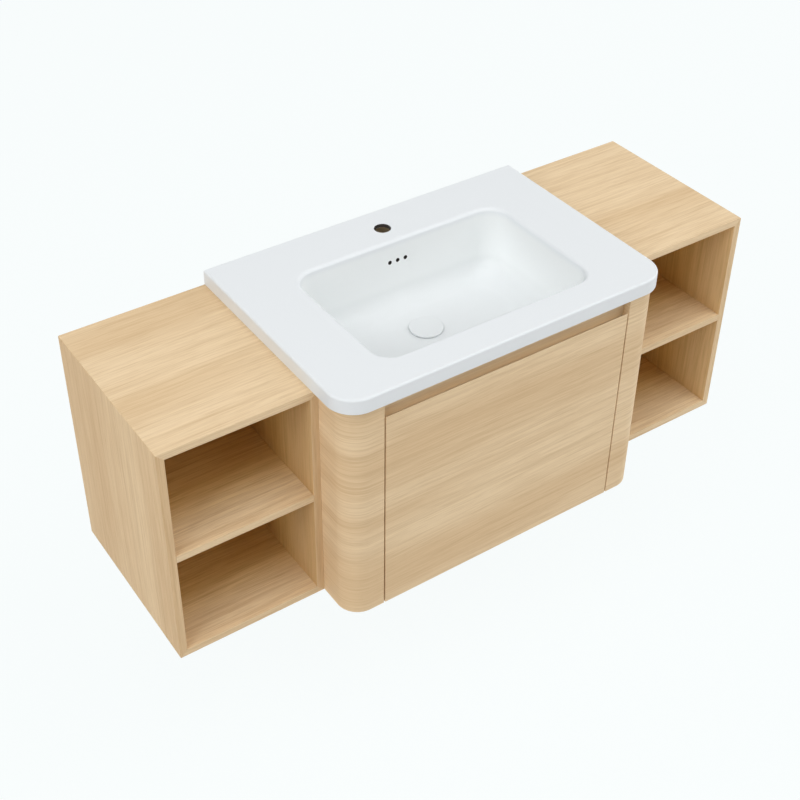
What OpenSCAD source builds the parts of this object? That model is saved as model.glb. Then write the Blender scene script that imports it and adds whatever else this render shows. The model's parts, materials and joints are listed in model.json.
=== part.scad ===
// Floating vanity: a centre cabinet with one drawer under a ceramic basin, and an open box on each side.
// The origin is the middle of the four wall screws, on the wall. X runs along the wall, the front faces -Y.

/* [Centre cabinet] */
// Height of the centre cabinet and of both side boxes
cab_h = 508; // [470:1:600]
// Width of the centre cabinet
cab_w = 732; // [700:1:860]
// Depth of the centre cabinet, from the wall to its front
cab_d = 502; // [492:1:560]
// Thickness of every veneered panel
panel_t = 16; // [15:0.5:18]
// Outer radius of the two rounded front corners
corner_r = 47; // [38:1:56]
// Width of the flat strip between a rounded corner and the drawer
strip_w = 31.5; // [24:0.5:40]
// Height of the upper back rail
upper_rail_h = 100; // [90:1:130]
// Height of the lower back rail
lower_rail_h = 90; // [80:1:120]
// Distance of the wall screws from the cabinet's sides
wall_screw_side = 126; // [90:1:170]
// Distance of the wall screws from the cabinet's top and bottom
wall_screw_inset = 45; // [38:1:60]
// Diameter of the holes for the wall screws
wall_screw_d = 8; // [6:0.5:10]

/* [Side boxes] */
// Width of a side box
box_w = 319; // [290:1:380]
// Depth of a side box, from the wall to its open front
box_d = 406; // [360:1:430]
// Thickness of a side box's back
back_t = 9; // [6:0.5:12]
// Height of the rail that a side box hangs on
hang_rail_h = 70; // [50:1:90]
// Distance between a side box's two hanging screws
hang_span = 200; // [140:1:220]
// Height of the shelf's middle above the middle of the cabinet
shelf_z = 0; // [-60:1:60]
// Diameter of the dowels under the veneer at the shelf's ends
dowel_d = 8; // [6:0.5:10]
// Depth of a dowel in the shelf
dowel_in_shelf = 20; // [15:1:25]
// Depth of a dowel in the box's side
dowel_in_side = 10; // [8:0.5:12]
// Distance of the dowels from the shelf's front and back edges
dowel_inset = 60; // [40:1:90]
// Diameter of the shank of the screws that hold a box to the cabinet
fixing_d = 5; // [4:0.5:6]
// Diameter of their heads
fixing_head_d = 10; // [8:0.5:12]
// Height of their heads
fixing_head_h = 3; // [2:0.5:4]
// Depth that they reach into the box's side
fixing_bite = 12; // [10:0.5:13]
// Distance of these screws from the box's edges
fixing_inset = 70; // [50:1:90]

/* [Drawer] */
// Height of the finger pull above the drawer front
pull_gap = 33; // [24:1:44]
// Height of the pull rail that stands behind the drawer front's upper edge
pull_rail_overlap = 15; // [10:1:30]
// Gap beside the drawer front
seam = 3; // [2:0.5:4]
// Thickness of the drawer's boards
board_t = 12; // [10:0.5:13]
// Height of the drawer's sides
drawer_h = 240; // [180:1:260]
// Gap between the cabinet's bottom and the drawer's sides
drawer_lift = 8; // [5:0.5:15]
// Thickness of the drawer's bottom
bottom_t = 9; // [6:0.5:10]
// Height of the drawer's bottom above the lower edges of its sides
bottom_up = 10; // [8:0.5:15]
// Depth of the groove that holds the bottom
groove_d = 6; // [4:0.5:7]
// Play of the bottom in its groove
groove_play = 0.2; // [0.1:0.1:0.4]
// Width of the cut-out for the plumbing
notch_w = 170; // [140:1:220]
// Distance from the drain's axis to the front of the cut-out
notch_reach = 75; // [60:1:110]
// Diameter of the screws that hold the drawer front
front_screw_d = 4; // [3:0.5:5]
// Depth of these screws in the drawer front
front_screw_bite = 10; // [8:0.5:12]
// Height of their heads
front_screw_head_h = 2.2; // [1.5:0.1:3]
// Distance of these screws from the drawer front's sides
front_screw_side = 84.5; // [60:0.5:130]
// Height of their lower row above the drawer's bottom
front_screw_low = 40; // [25:1:60]
// Distance of their upper row from the upper edge of the drawer's sides
front_screw_high = 45; // [25:1:70]
// Diameter of the rubber bumpers
bumper_d = 8; // [6:0.5:8]
// Thickness of the rubber bumpers
bumper_t = 1.2; // [1:0.1:2]
// Distance of the bumpers from the drawer front's sides
bumper_side = 34.5; // [20:0.5:60]
// Gap that a closed bumper keeps
bumper_gap = 0.3; // [0.2:0.1:0.5]

/* [Drawer slides] */
// Distance from the wall to the back ends of the slides and the drawer
slide_back = 31; // [22:1:80]
// Height of the slides
slide_h = 45; // [42:0.5:48]
// Thickness of a slide, from the housing to the drawer
slide_t = 12.7; // [12.2:0.1:14]
// Distance of the slides behind the drawer front
slide_setback = 5; // [3:0.5:8]
// Height of the slides' middle above the lower edges of the drawer's sides
slide_up = 90; // [50:1:120]
// How much less than their own length the slides run out
travel_loss = 20; // [20:5:80]
// Thickness of the slides' steel
steel_t = 1.2; // [1:0.1:1.4]
// Gap between the webs of two members
web_gap = 1.5; // [1.3:0.1:1.8]
// Diameter of the balls
ball_d = 3; // [2.6:0.1:3.2]
// Play of the balls on each side
ball_play = 0.05; // [0.03:0.01:0.08]
// Balls in each row
ball_count = 4; // [3:1:8]
// Distance of the outermost balls from the ends of the stretch where two members overlap
ball_margin = 15; // [10:1:25]
// Distance of the slides' outer screws from the ends of the slides
slide_screw_inset = 35; // [20:1:60]
// Diameter of the slides' screws
slide_screw_d = 3.5; // [3:0.5:4]
// Diameter of their flat heads
slide_screw_head_d = 7; // [6:0.5:8]
// Height of their flat heads
slide_screw_head_h = 1; // [0.8:0.1:1.1]
// Depth of these screws in the board
slide_screw_bite = 9; // [7:0.5:9.5]

/* [Basin] */
// How far the deck laps over each side box
deck_over_side = 12; // [6:1:30]
// How far the deck stands out in front of the cabinet
deck_over_front = 7; // [3:1:20]
// Height of the deck's edge
deck_t = 33; // [26:1:45]
// Radius of the deck's front corners
deck_r = 57; // [45:1:80]
// Thickness of the ceramic
ceramic_t = 9; // [8:0.5:12]
// Distance from the drawer's bay to the bowl's side, under the bowl's soft rim
bowl_side = 40.5; // [30:0.5:60]
// Distance from the wall to the bowl's back
bowl_back = 117; // [113:1:130]
// Width of the deck in front of the bowl
front_rim = 71; // [64:1:90]
// Radius of the bowl's upright corners
bowl_r = 46; // [35:1:60]
// How much wider the rim is at each side
lip_side = 7; // [3:1:12]
// How much deeper the rim is at the back
lip_back = 9; // [6:1:14]
// How much deeper the rim is at the front
lip_front = 5; // [3:1:12]
// Height of the rim's soft edge
lip_h = 7; // [4:0.5:10]
// How far the bowl's walls lean in
wall_lean = 8; // [4:1:16]
// Radius between the bowl's walls and its floor
floor_r = 42; // [25:1:50]
// Height that the floor gains from the drain to the walls
floor_rise = 5; // [3:0.5:8]
// Depth of the bowl at the drain, below the deck's top
bowl_depth = 156.5; // [140:0.5:165]
// Distance from the wall to the drain's axis
drain_y = 225; // [215:1:260]
// Diameter of the faucet hole
faucet_d = 35; // [32:0.5:38]
// Distance from the wall to the faucet hole's axis
faucet_y = 64; // [55:1:68]
// Diameter of an overflow hole
overflow_d = 9; // [6:0.5:11]
// Distance between two overflow holes
overflow_pitch = 19; // [14:1:22]
// Depth of the overflow holes below the deck's top
overflow_drop = 47.5; // [38:0.5:60]
// Width of the overflow channel
channel_w = 52; // [48:1:70]
// Depth of the overflow channel behind the bowl
channel_d = 9; // [8:0.5:11]
// Height of the overflow channel under the floor
channel_h = 12; // [10:0.5:14]
// Thickness of the channel's outer wall
channel_wall = 8; // [6:0.5:9]
// Width of the two ribs that stiffen the deck
rib_t = 14; // [10:1:20]

/* [Drain] */
// Play of the drain's body in the basin's hole, on each side
drain_hole_play = 1.5; // [1:0.1:2.5]
// Wall of the boss round the basin's hole
boss_wall = 13; // [10:0.5:16]
// How far the drain's flange reaches past the hole
flange_lap = 9; // [7:0.5:11]
// Thickness of the drain's flange
flange_t = 3; // [2:0.5:4]
// Thickness of the gasket under the flange
gasket_t = 1.5; // [1:0.5:2.5]
// Wall of the drain's body
body_wall = 3; // [2.5:0.5:4]
// Length of the drain's body below the bowl's floor
body_len = 78; // [72:1:90]
// Thickness of the rubber seal under the basin
seal_t = 8; // [5:0.5:10]
// Thickness of the lock nut
nut_t = 12; // [8:0.5:14]
// How far the lock nut's corners stand out from the drain's body
nut_ring = 12; // [9:0.5:15]
// Radial play of the parts that screw or slide into each other
play = 0.05; // [0.03:0.01:0.08]
// Outer diameter of the tailpiece
tail_d = 31.8; // [30:0.1:33]
// Gap between the tailpiece's tube and the bore of the drain's body
tail_gap = 2.1; // [1.5:0.1:3]
// Wall of the tailpiece
tail_wall = 1.3; // [1:0.1:2]
// Length of the tailpiece's collar in the drain's body
collar_h = 18; // [12:1:24]
// Length of the tailpiece below the drain's body
tail_len = 135; // [100:1:160]
// How far the pop-up cap reaches past the drain's flange
cap_lap = 4; // [3:0.5:8]
// Thickness of the pop-up cap at its middle
cap_t = 5; // [5:0.5:8]
// How much thinner the cap is at its edge
cap_crown = 1; // [0.5:0.1:1.5]
// Radius of the cap's rounded edge
cap_edge_r = 1.4; // [1:0.1:1.6]
// Height of the cap's edge above the bowl's floor
cap_gap = 1.2; // [1:0.1:2]
// Lift of the pop-up cap
cap_lift = 9; // [7:0.5:10]
// Diameter of the cap's stem
stem_d = 8; // [6:0.5:10]
// Thickness of the rubber seal under the cap
cap_seal_t = 0.9; // [0.7:0.1:1]

/* [Hidden] */
$fn = 96;
LEFT = -1;
RIGHT = 1;
eps = 0.5;          // overshoot of a cutting tool
skin = 0.02;        // thickness of the thin slices that a hull joins
coarse = 32;        // sides of the circles inside a hull

OAK = [0.87, 0.76, 0.60];
BOARD = [0.80, 0.70, 0.55];
CERAMIC = [0.93, 0.94, 0.95];
STEEL = [0.72, 0.73, 0.75];
CHROME = [0.85, 0.86, 0.88];
RUBBER = [0.16, 0.16, 0.17];

top_z = cab_h / 2;
bot_z = -cab_h / 2;
front_gap = bumper_t + bumper_gap;                     // behind the drawer front
bay_x = cab_w / 2 - corner_r - strip_w;                // half width of the drawer's bay
bay_front_y = cab_d - panel_t;                         // depth of the drawer front's back face
panel_seam_y = min(box_d - 6, cab_d - corner_r);       // side panel meets corner post, behind the box's front
pull_rail_h = pull_gap + panel_t + pull_rail_overlap;
wall_screw_x = cab_w / 2 - wall_screw_side;
wall_screw_z = top_z - wall_screw_inset;

box_x0 = cab_w / 2;
box_x1 = cab_w / 2 + box_w;
box_back_y = panel_t + back_t;
hang_screw_z = top_z - panel_t - hang_rail_h / 2;
box_mid_x = (box_x0 + box_x1) / 2;

front_x = bay_x - seam;                                // half width of the drawer front
front_top_z = top_z - pull_gap;
drawer_x = bay_x - slide_t;                            // outer face of a drawer side
drawer_in_x = drawer_x - board_t;
drawer_z0 = bot_z + panel_t + drawer_lift;
drawer_z1 = drawer_z0 + drawer_h;
drawer_back_y = slide_back;
drawer_floor_z = drawer_z0 + bottom_up + bottom_t;     // top of the drawer's bottom
notch_front_y = drain_y + notch_reach;
inner_front_y = bay_front_y - board_t;

slide_z = drawer_z0 + slide_up;
slide_y0 = bay_front_y - slide_setback;                // front end of the slides
slide_len = slide_y0 - slide_back;
travel = slide_len - travel_loss;                      // full travel of the drawer
row_gap = ball_d + 2 * ball_play;
middle_h = slide_h - 2 * (steel_t + row_gap);
inner_h = middle_h - 2 * (steel_t + row_gap);
lip_x = drawer_x + steel_t + web_gap;                  // edge of the outer members' flanges
middle_web_x = bay_x - steel_t - web_gap;              // outer face of the middle member's web
inner_lip_x = middle_web_x - steel_t - web_gap;

deck_w = cab_w + 2 * deck_over_side;
deck_d = cab_d + deck_over_front;
deck_z = top_z + deck_t;
bowl_floor_z = deck_z - bowl_depth;
bowl_w = 2 * (bay_x - bowl_side);
bowl_front = deck_d - front_rim;                       // distance from the wall to the bowl's front
bowl_mid_y = (bowl_back + bowl_front) / 2;
body_bore = tail_d + 2 * tail_gap;
body_d = body_bore + 2 * body_wall;
drain_hole_d = body_d + 2 * drain_hole_play;
flange_d = drain_hole_d + 2 * flange_lap;
nut_d = body_d + 2 * nut_ring;                         // across the lock nut's corners
cap_d = flange_d + 2 * cap_lap;
drain_flat_d = cap_d + 4;
recess_d = flange_d + 2;
recess_h = flange_t + gasket_t;
boss_d = drain_hole_d + 2 * boss_wall;
channel_z1 = bowl_floor_z - recess_h - channel_wall;   // roof of the channel under the floor
channel_z0 = channel_z1 - channel_h;
boss_z = channel_z0 - channel_wall;                    // underside of the basin at the drain
channel_y1 = bowl_back - ceramic_t - 2;                // front face of the channel behind the bowl
channel_y0 = channel_y1 - channel_d;
pocket_front_y = cab_d - 2 * panel_t - front_gap;

flange_z = bowl_floor_z - flange_t;
body_end_z = bowl_floor_z - body_len;
spider_z = channel_z1 + 3;
spider_h = 6;
collar_z = body_end_z + 1;
cap_z = bowl_floor_z + cap_gap;
stem_end_z = spider_z + spider_h / 2 + 1.5;            // where the stem meets the cap's boss
stop_h = 5;

// Puts a part that is drawn on the right on the side asked for.
module handed(side) {
    if (side < 0) mirror([1, 0, 0]) children();
    else children();
}

// A block from one corner to the other.
module block(low, high) {
    translate(low) cube(high - low);
}

// A round bar or hole along Y, from the wall side y0 to the front side y1, both measured from the wall.
module bar_y(x, z, y0, y1, d) {
    translate([x, -y0, z]) rotate([90, 0, 0]) cylinder(h = y1 - y0, d = d);
}

// A round bar or hole along X.
module bar_x(x0, x1, y, z, d) {
    translate([x0, y, z]) rotate([0, 90, 0]) cylinder(h = x1 - x0, d = d);
}

// A profile drawn in X and Z, run from the wall side y0 to the front side y1.
module run_y(y0, y1) {
    translate([0, -y0, 0]) rotate([90, 0, 0]) linear_extrude(y1 - y0) children();
}

// A plan with its back on the wall, square at the back and rounded at the two front corners.
module rounded_front(w, d, r) {
    translate([-w / 2, -(d - r)]) square([w, d - r]);
    translate([-(w / 2 - r), -d]) square([w - 2 * r, d]);
    for (s = [-1, 1]) translate([s * (w / 2 - r), -(d - r)]) circle(r);
}

// The centre cabinet's plan, drawn in by a panel's thickness or more.
module cabinet_plan(inset) {
    rounded_front(cab_w - 2 * inset, cab_d - inset, corner_r - inset);
}

// ---------- Centre cabinet ----------

module side_panel(side) {
    color(OAK) handed(side) difference() {
        block([cab_w / 2 - panel_t, -panel_seam_y, bot_z], [cab_w / 2, 0, top_z]);
        fixing_places() bar_x(cab_w / 2 - panel_t - eps, cab_w / 2 + eps, 0, 0, fixing_d + 2 * play);
    }
}

// A bent panel: a short straight leg, the rounded corner and the flat strip beside the drawer.
module corner_post(side) {
    color(OAK) handed(side) translate([0, 0, bot_z]) linear_extrude(cab_h) intersection() {
        difference() {
            cabinet_plan(0);
            cabinet_plan(panel_t);
        }
        translate([bay_x, -cab_d]) square([cab_w / 2 - bay_x, cab_d - panel_seam_y]);
    }
}

module housing_side(side) {
    color(OAK) handed(side) difference() {
        block([bay_x, -bay_front_y, bot_z + panel_t], [bay_x + panel_t, -panel_t, top_z]);
        slide_screw_places()
            bar_x(bay_x - eps, bay_x + slide_screw_bite + eps, 0, 0, slide_screw_d + 2 * play);
    }
}

module bottom_panel() {
    color(OAK) translate([0, 0, bot_z]) linear_extrude(panel_t) difference() {
        cabinet_plan(panel_t);
        translate([-bay_x, -cab_d]) square([2 * bay_x, panel_t + front_gap]);
    }
}

module pull_rail() {
    color(OAK) block([-bay_x, -(bay_front_y - front_gap), top_z - pull_rail_h],
                     [bay_x, -(bay_front_y - front_gap - panel_t), top_z]);
}

module back_rail(z0, z1, screw_z) {
    color(OAK) difference() {
        block([-(cab_w / 2 - panel_t), -panel_t, z0], [cab_w / 2 - panel_t, 0, z1]);
        for (x = [-1, 1] * wall_screw_x) bar_y(x, screw_z, -eps, panel_t + eps, wall_screw_d);
    }
}

module upper_back_rail() {
    back_rail(top_z - upper_rail_h, top_z, wall_screw_z);
}

module lower_back_rail() {
    back_rail(bot_z + panel_t, bot_z + panel_t + lower_rail_h, -wall_screw_z);
}

// ---------- Side boxes ----------

// Where the screws that hold a box to the centre cabinet sit.
module fixing_places() {
    for (y = [fixing_inset, box_d - fixing_inset], z = [bot_z + fixing_inset, top_z - fixing_inset])
        translate([0, -y, z]) children();
}

// Where the shelf's dowels sit, front and back.
module dowel_places() {
    for (y = [box_back_y + dowel_inset, box_d - dowel_inset]) translate([0, -y, shelf_z]) children();
}

// A dowel, or its hole when it is drawn larger. End -1 of the shelf is nearer the cabinet, end 1 farther.
module dowel(end, grow) {
    face_x = end < 0 ? box_x0 + panel_t : box_x1 - panel_t;
    inner = dowel_in_shelf + grow;
    outer = dowel_in_side + grow;
    x0 = end < 0 ? face_x - outer : face_x - inner;
    bar_x(x0, x0 + inner + outer, 0, 0, dowel_d + 2 * grow);
}

// A plank of a box, mitred at both ends: rise is +1 for the top and -1 for the bottom.
module box_plank(rise) {
    run_y(0, box_d) polygon([
        [box_x0, rise * top_z], [box_x1, rise * top_z],
        [box_x1 - panel_t, rise * (top_z - panel_t)], [box_x0 + panel_t, rise * (top_z - panel_t)]
    ]);
}

module box_top(side) {
    color(OAK) handed(side) box_plank(1);
}

module box_bottom(side) {
    color(OAK) handed(side) box_plank(-1);
}

// An upright of a box, mitred at both ends: face_x is its outer face and inward the way to the box's inside.
module box_upright(face_x, inward) {
    run_y(0, box_d) polygon([
        [face_x, bot_z], [face_x, top_z],
        [face_x + inward * panel_t, top_z - panel_t], [face_x + inward * panel_t, bot_z + panel_t]
    ]);
}

module box_outer_side(side) {
    color(OAK) handed(side) difference() {
        box_upright(box_x1, -1);
        dowel_places() dowel(1, play);
    }
}

module box_inner_side(side) {
    color(OAK) handed(side) difference() {
        box_upright(box_x0, 1);
        dowel_places() dowel(-1, play);
        fixing_places() bar_x(box_x0 - eps, box_x0 + fixing_bite + eps, 0, 0, fixing_d + 2 * play);
    }
}

// The two holes for a box's hanging screws.
module hanging_holes() {
    for (s = [-1, 1])
        bar_y(box_mid_x + s * hang_span / 2, hang_screw_z, -eps, box_back_y + eps, wall_screw_d);
}

module box_back(side) {
    color(OAK) handed(side) difference() {
        block([box_x0 + panel_t, -box_back_y, bot_z + panel_t],
              [box_x1 - panel_t, -panel_t, top_z - panel_t]);
        hanging_holes();
    }
}

module box_hanging_rail(side) {
    color(OAK) handed(side) difference() {
        block([box_x0 + panel_t, -panel_t, top_z - panel_t - hang_rail_h],
              [box_x1 - panel_t, 0, top_z - panel_t]);
        hanging_holes();
    }
}

module box_shelf(side) {
    color(OAK) handed(side) difference() {
        block([box_x0 + panel_t, -box_d, shelf_z - panel_t / 2],
              [box_x1 - panel_t, -box_back_y, shelf_z + panel_t / 2]);
        for (end = [-1, 1]) dowel_places() dowel(end, play);
    }
}

module box_dowels(side) {
    color(BOARD) handed(side) for (end = [-1, 1]) dowel_places() dowel(end, 0);
}

module box_screws(side) {
    color(STEEL) handed(side) fixing_places() {
        bar_x(box_x0 - panel_t, box_x0 + fixing_bite, 0, 0, fixing_d);
        bar_x(box_x0 - panel_t - fixing_head_h, box_x0 - panel_t, 0, 0, fixing_head_d);
    }
}

// ---------- Basin ----------

// A thin slice of the bowl: lean draws it in all round, and side, back and front widen it there.
module bowl_slice(z, lean, side = 0, back = 0, front = 0) {
    w = bowl_w + 2 * (side - lean);
    y0 = bowl_back + lean - back;
    y1 = bowl_front - lean + front;
    r = bowl_r;
    translate([0, -(y0 + y1) / 2, z]) linear_extrude(skin) {
        square([w - 2 * r, y1 - y0], center = true);
        square([w, y1 - y0 - 2 * r], center = true);
        for (x = [-1, 1] * (w / 2 - r), y = [-1, 1] * ((y1 - y0) / 2 - r))
            translate([x, y]) circle(r, $fn = coarse);
    }
}

// The bowl as one smooth hollow, grown by the ceramic's thickness for its outside.
module bowl_form(grow, upper_z) {
    edge_z = bowl_floor_z + floor_rise;
    hull() {
        bowl_slice(upper_z, -grow);
        bowl_slice(deck_z - lip_h, -grow);
        for (a = [0 : 22.5 : 90])
            bowl_slice(edge_z - grow + (floor_r + grow) * (1 - sin(a)),
                       wall_lean - grow + (floor_r + grow) * (1 - cos(a)));
        translate([0, -drain_y, bowl_floor_z - grow])
            cylinder(h = skin, d = drain_flat_d + grow, $fn = coarse);
    }
}

// The soft edge that leads from the deck into the bowl.
module bowl_lip() {
    hull() {
        bowl_slice(deck_z + eps, 0, lip_side, lip_back, lip_front);
        bowl_slice(deck_z - skin, 0, lip_side, lip_back, lip_front);
        bowl_slice(deck_z - lip_h, 0);
    }
}

// The deck's hollow underside, over the inside of the cabinet.
module deck_pocket() {
    translate([0, 0, top_z - eps]) linear_extrude(deck_t - ceramic_t + eps) intersection() {
        cabinet_plan(panel_t);
        translate([-cab_w / 2, -pocket_front_y]) square([cab_w, pocket_front_y - panel_t]);
    }
}

module basin() {
    channel_x = channel_w / 2;
    wall_x = channel_x + channel_wall;
    wall_y = channel_y0 - channel_wall;
    overflow_z = deck_z - overflow_drop;
    channel_top_z = overflow_z + overflow_d / 2 + 4;
    pocket_x = cab_w / 2 - panel_t;
    deck_under_z = deck_z - ceramic_t / 2;
    color(CERAMIC) difference() {
        union() {
            difference() {
                translate([0, 0, top_z]) linear_extrude(deck_t) rounded_front(deck_w, deck_d, deck_r);
                deck_pocket();
            }
            bowl_form(ceramic_t, deck_z - ceramic_t);
            for (s = [-1, 1]) handed(s)
                block([bowl_w / 2, -bowl_mid_y - rib_t / 2, top_z],
                      [pocket_x + 1, -bowl_mid_y + rib_t / 2, deck_under_z]);
            block([-wall_x, -(bowl_back + floor_r / 2), boss_z], [wall_x, -wall_y, deck_under_z]);
            block([-wall_x, -drain_y, boss_z], [wall_x, -wall_y, channel_z1 + channel_wall]);
            translate([0, -drain_y, boss_z]) cylinder(h = bowl_floor_z - boss_z - ceramic_t / 2, d = boss_d);
        }
        bowl_form(0, deck_z - lip_h);
        bowl_lip();
        translate([0, -drain_y, bowl_floor_z - recess_h]) cylinder(h = recess_h + eps, d = recess_d);
        translate([0, -drain_y, boss_z - eps]) cylinder(h = bowl_floor_z - boss_z, d = drain_hole_d);
        translate([0, -faucet_y, top_z]) cylinder(h = deck_t + eps, d = faucet_d);
        for (i = [-1 : 1])
            bar_y(i * overflow_pitch, overflow_z, channel_y1 - eps, bowl_back + wall_lean, overflow_d);
        block([-channel_x, -channel_y1, channel_z0], [channel_x, -channel_y0, channel_top_z]);
        block([-channel_x, -drain_y, channel_z0], [channel_x, -channel_y0, channel_z1]);
    }
}

// ---------- Drain and pop-up cap ----------

// A ring round the drain's axis.
module drain_ring(z0, z1, d_in, d_out) {
    translate([0, -drain_y, z0]) difference() {
        cylinder(h = z1 - z0, d = d_out);
        translate([0, 0, -eps]) cylinder(h = z1 - z0 + 2 * eps, d = d_in);
    }
}

// The drain's body: flange, tube with two overflow slots, and the spider that guides the stem.
module drain_body() {
    slot_w = body_bore / 2;
    color(CHROME) {
        difference() {
            union() {
                drain_ring(flange_z, bowl_floor_z, body_bore, flange_d);
                drain_ring(body_end_z, flange_z + eps, body_bore, body_d);
            }
            translate([0, -drain_y, (channel_z0 + channel_z1) / 2])
                cube([slot_w, body_d + 2, channel_h - 2], center = true);
        }
        translate([0, -drain_y, spider_z]) difference() {
            union() {
                cube([body_bore + 1, 3, spider_h], center = true);
                cube([3, body_bore + 1, spider_h], center = true);
                cylinder(h = spider_h, d = stem_d + 7, center = true);
            }
            cylinder(h = spider_h + 2 * eps, d = stem_d + 2 * play, center = true);
        }
    }
}

module drain_gasket() {
    color(RUBBER) drain_ring(flange_z - gasket_t, flange_z, drain_hole_d, flange_d);
}

module drain_seal() {
    color(RUBBER) drain_ring(boss_z - seal_t, boss_z, body_d + 2 * play, nut_d);
}

module drain_locknut() {
    z1 = boss_z - seal_t;
    color(CHROME) translate([0, -drain_y, z1 - nut_t]) difference() {
        cylinder(h = nut_t, d = nut_d, $fn = 6);
        translate([0, 0, -eps]) cylinder(h = nut_t + 2 * eps, d = body_d + 2 * play);
    }
}

// The tailpiece: a collar that screws into the drain's body, and the tube that the trap slips onto.
module tailpiece() {
    color(CHROME) {
        drain_ring(collar_z, collar_z + collar_h, tail_d - 2 * tail_wall, body_bore - 2 * play);
        drain_ring(body_end_z - tail_len, collar_z + eps, tail_d - 2 * tail_wall, tail_d);
    }
}

// The pop-up cap: a shallow ceramic disc with a rounded edge, and the boss that takes the stem.
module popup_cap() {
    r = cap_d / 2;
    edge_t = cap_t - cap_crown;
    flat_r = r - cap_edge_r;
    color(CERAMIC) translate([0, -drain_y, 0]) {
        translate([0, 0, cap_z]) rotate_extrude() {
            translate([0, cap_edge_r]) square([r, edge_t - 2 * cap_edge_r]);
            for (z = [cap_edge_r, edge_t - cap_edge_r]) translate([flat_r, z]) circle(cap_edge_r);
            polygon([[0, 0], [flat_r, 0], [flat_r, edge_t], [r * 0.6, cap_t - cap_crown * 0.3], [0, cap_t]]);
        }
        translate([0, 0, stem_end_z]) cylinder(h = cap_z - stem_end_z + cap_edge_r, d = 2 * stem_d);
    }
}

// The stem, with the stop that ends the cap's lift under the spider.
module popup_stem() {
    stop_z = spider_z - spider_h / 2 - cap_lift - stop_h;
    color(CHROME) translate([0, -drain_y, 0]) {
        translate([0, 0, stop_z]) cylinder(h = stem_end_z - stop_z, d = stem_d);
        translate([0, 0, stop_z]) cylinder(h = stop_h, d = stem_d + 5);
    }
}

module popup_seal() {
    color(RUBBER) drain_ring(cap_z - cap_seal_t, cap_z, flange_d - 15, flange_d - 3);
}

// ---------- Drawer ----------

// The front covers the cabinet's bottom edge, and its top is bevelled back for the fingers.
module drawer_front() {
    color(OAK) difference() {
        translate([-front_x, 0, 0]) rotate([90, 0, 90]) linear_extrude(2 * front_x) polygon([
            [-cab_d, bot_z], [-cab_d, front_top_z],
            [-bay_front_y, front_top_z - panel_t], [-bay_front_y, bot_z]
        ]);
        front_screw_places() bar_y(0, 0, bay_front_y - eps, bay_front_y + front_screw_bite + eps,
                                   front_screw_d + 2 * play);
    }
}

// Where the screws through the inner front sit, two rows of two.
module front_screw_places() {
    for (x = [-1, 1] * (front_x - front_screw_side),
         z = [drawer_floor_z + front_screw_low, drawer_z1 - front_screw_high])
        translate([x, 0, z]) children();
}

module drawer_front_screws() {
    color(STEEL) front_screw_places() {
        bar_y(0, 0, inner_front_y, bay_front_y + front_screw_bite, front_screw_d);
        bar_y(0, 0, inner_front_y - front_screw_head_h, inner_front_y, 2 * front_screw_d);
    }
}

// The bottom's outline as a block, drawn larger by its play where it cuts the groove.
module bottom_block(draw, run_out) {
    x = drawer_in_x + groove_d + draw;
    z0 = drawer_floor_z - bottom_t;
    block([-x, -(inner_front_y + groove_d + draw), z0 - draw],
          [x, -drawer_back_y + run_out, drawer_floor_z + draw]);
}

module drawer_bottom() {
    color(BOARD) difference() {
        bottom_block(0, 0);
        block([-notch_w / 2, -notch_front_y, drawer_z0],
              [notch_w / 2, -drawer_back_y + eps, drawer_floor_z + eps]);
    }
}

module drawer_side(side) {
    color(BOARD) handed(side) difference() {
        block([drawer_in_x, -bay_front_y, drawer_z0], [drawer_x, -drawer_back_y, drawer_z1]);
        bottom_block(groove_play / 2, eps);
        slide_screw_places()
            bar_x(drawer_x - slide_screw_bite - eps, drawer_x + eps, 0, 0, slide_screw_d + 2 * play);
    }
}

module drawer_inner_front() {
    color(BOARD) difference() {
        block([-drawer_in_x, -bay_front_y, drawer_z0], [drawer_in_x, -inner_front_y, drawer_z1]);
        bottom_block(groove_play / 2, eps);
        front_screw_places() bar_y(0, 0, inner_front_y - eps, bay_front_y + eps, front_screw_d + 2 * play);
    }
}

module drawer_back(side) {
    color(BOARD) handed(side)
        block([notch_w / 2 + board_t, -(drawer_back_y + board_t), drawer_floor_z],
              [drawer_in_x, -drawer_back_y, drawer_z1]);
}

module notch_side_board(side) {
    color(BOARD) handed(side)
        block([notch_w / 2, -notch_front_y, drawer_floor_z],
              [notch_w / 2 + board_t, -drawer_back_y, drawer_z1]);
}

module notch_front_board() {
    x = notch_w / 2 + board_t;
    color(BOARD) block([-x, -(notch_front_y + board_t), drawer_floor_z], [x, -notch_front_y, drawer_z1]);
}

module drawer_bumpers() {
    low_z = bot_z + panel_t / 2;
    high_z = front_top_z - panel_t - bumper_d / 2 - 3;
    color(RUBBER) for (x = [-1, 1] * (front_x - bumper_side), z = [low_z, high_z])
        bar_y(x, z, bay_front_y - bumper_t, bay_front_y, bumper_d);
}

// ---------- Drawer slides ----------

// Where the slides' screws sit along their length.
module slide_screw_places() {
    for (y = [slide_screw_inset, slide_len / 2, slide_len - slide_screw_inset])
        translate([0, -(slide_y0 - y), slide_z]) children();
}

// The holes for the slides' screws through a web between x0 and x1.
module web_holes(x0, x1) {
    slide_screw_places() bar_x(x0 - eps, x1 + eps, 0, 0, slide_screw_d + 4 * play);
}

// A steel channel: web_x is its web's outer face, edge_x the edge of its flanges, h its height.
module channel(web_x, edge_x, h) {
    way = edge_x > web_x ? 1 : -1;
    inner_x = web_x + way * steel_t;
    translate([0, 0, slide_z]) run_y(slide_y0 - slide_len, slide_y0) difference() {
        translate([min(web_x, edge_x), -h / 2]) square([abs(edge_x - web_x), h]);
        translate([min(inner_x, edge_x + way), -h / 2 + steel_t])
            square([abs(edge_x + way - inner_x), h - 2 * steel_t]);
    }
}

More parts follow.
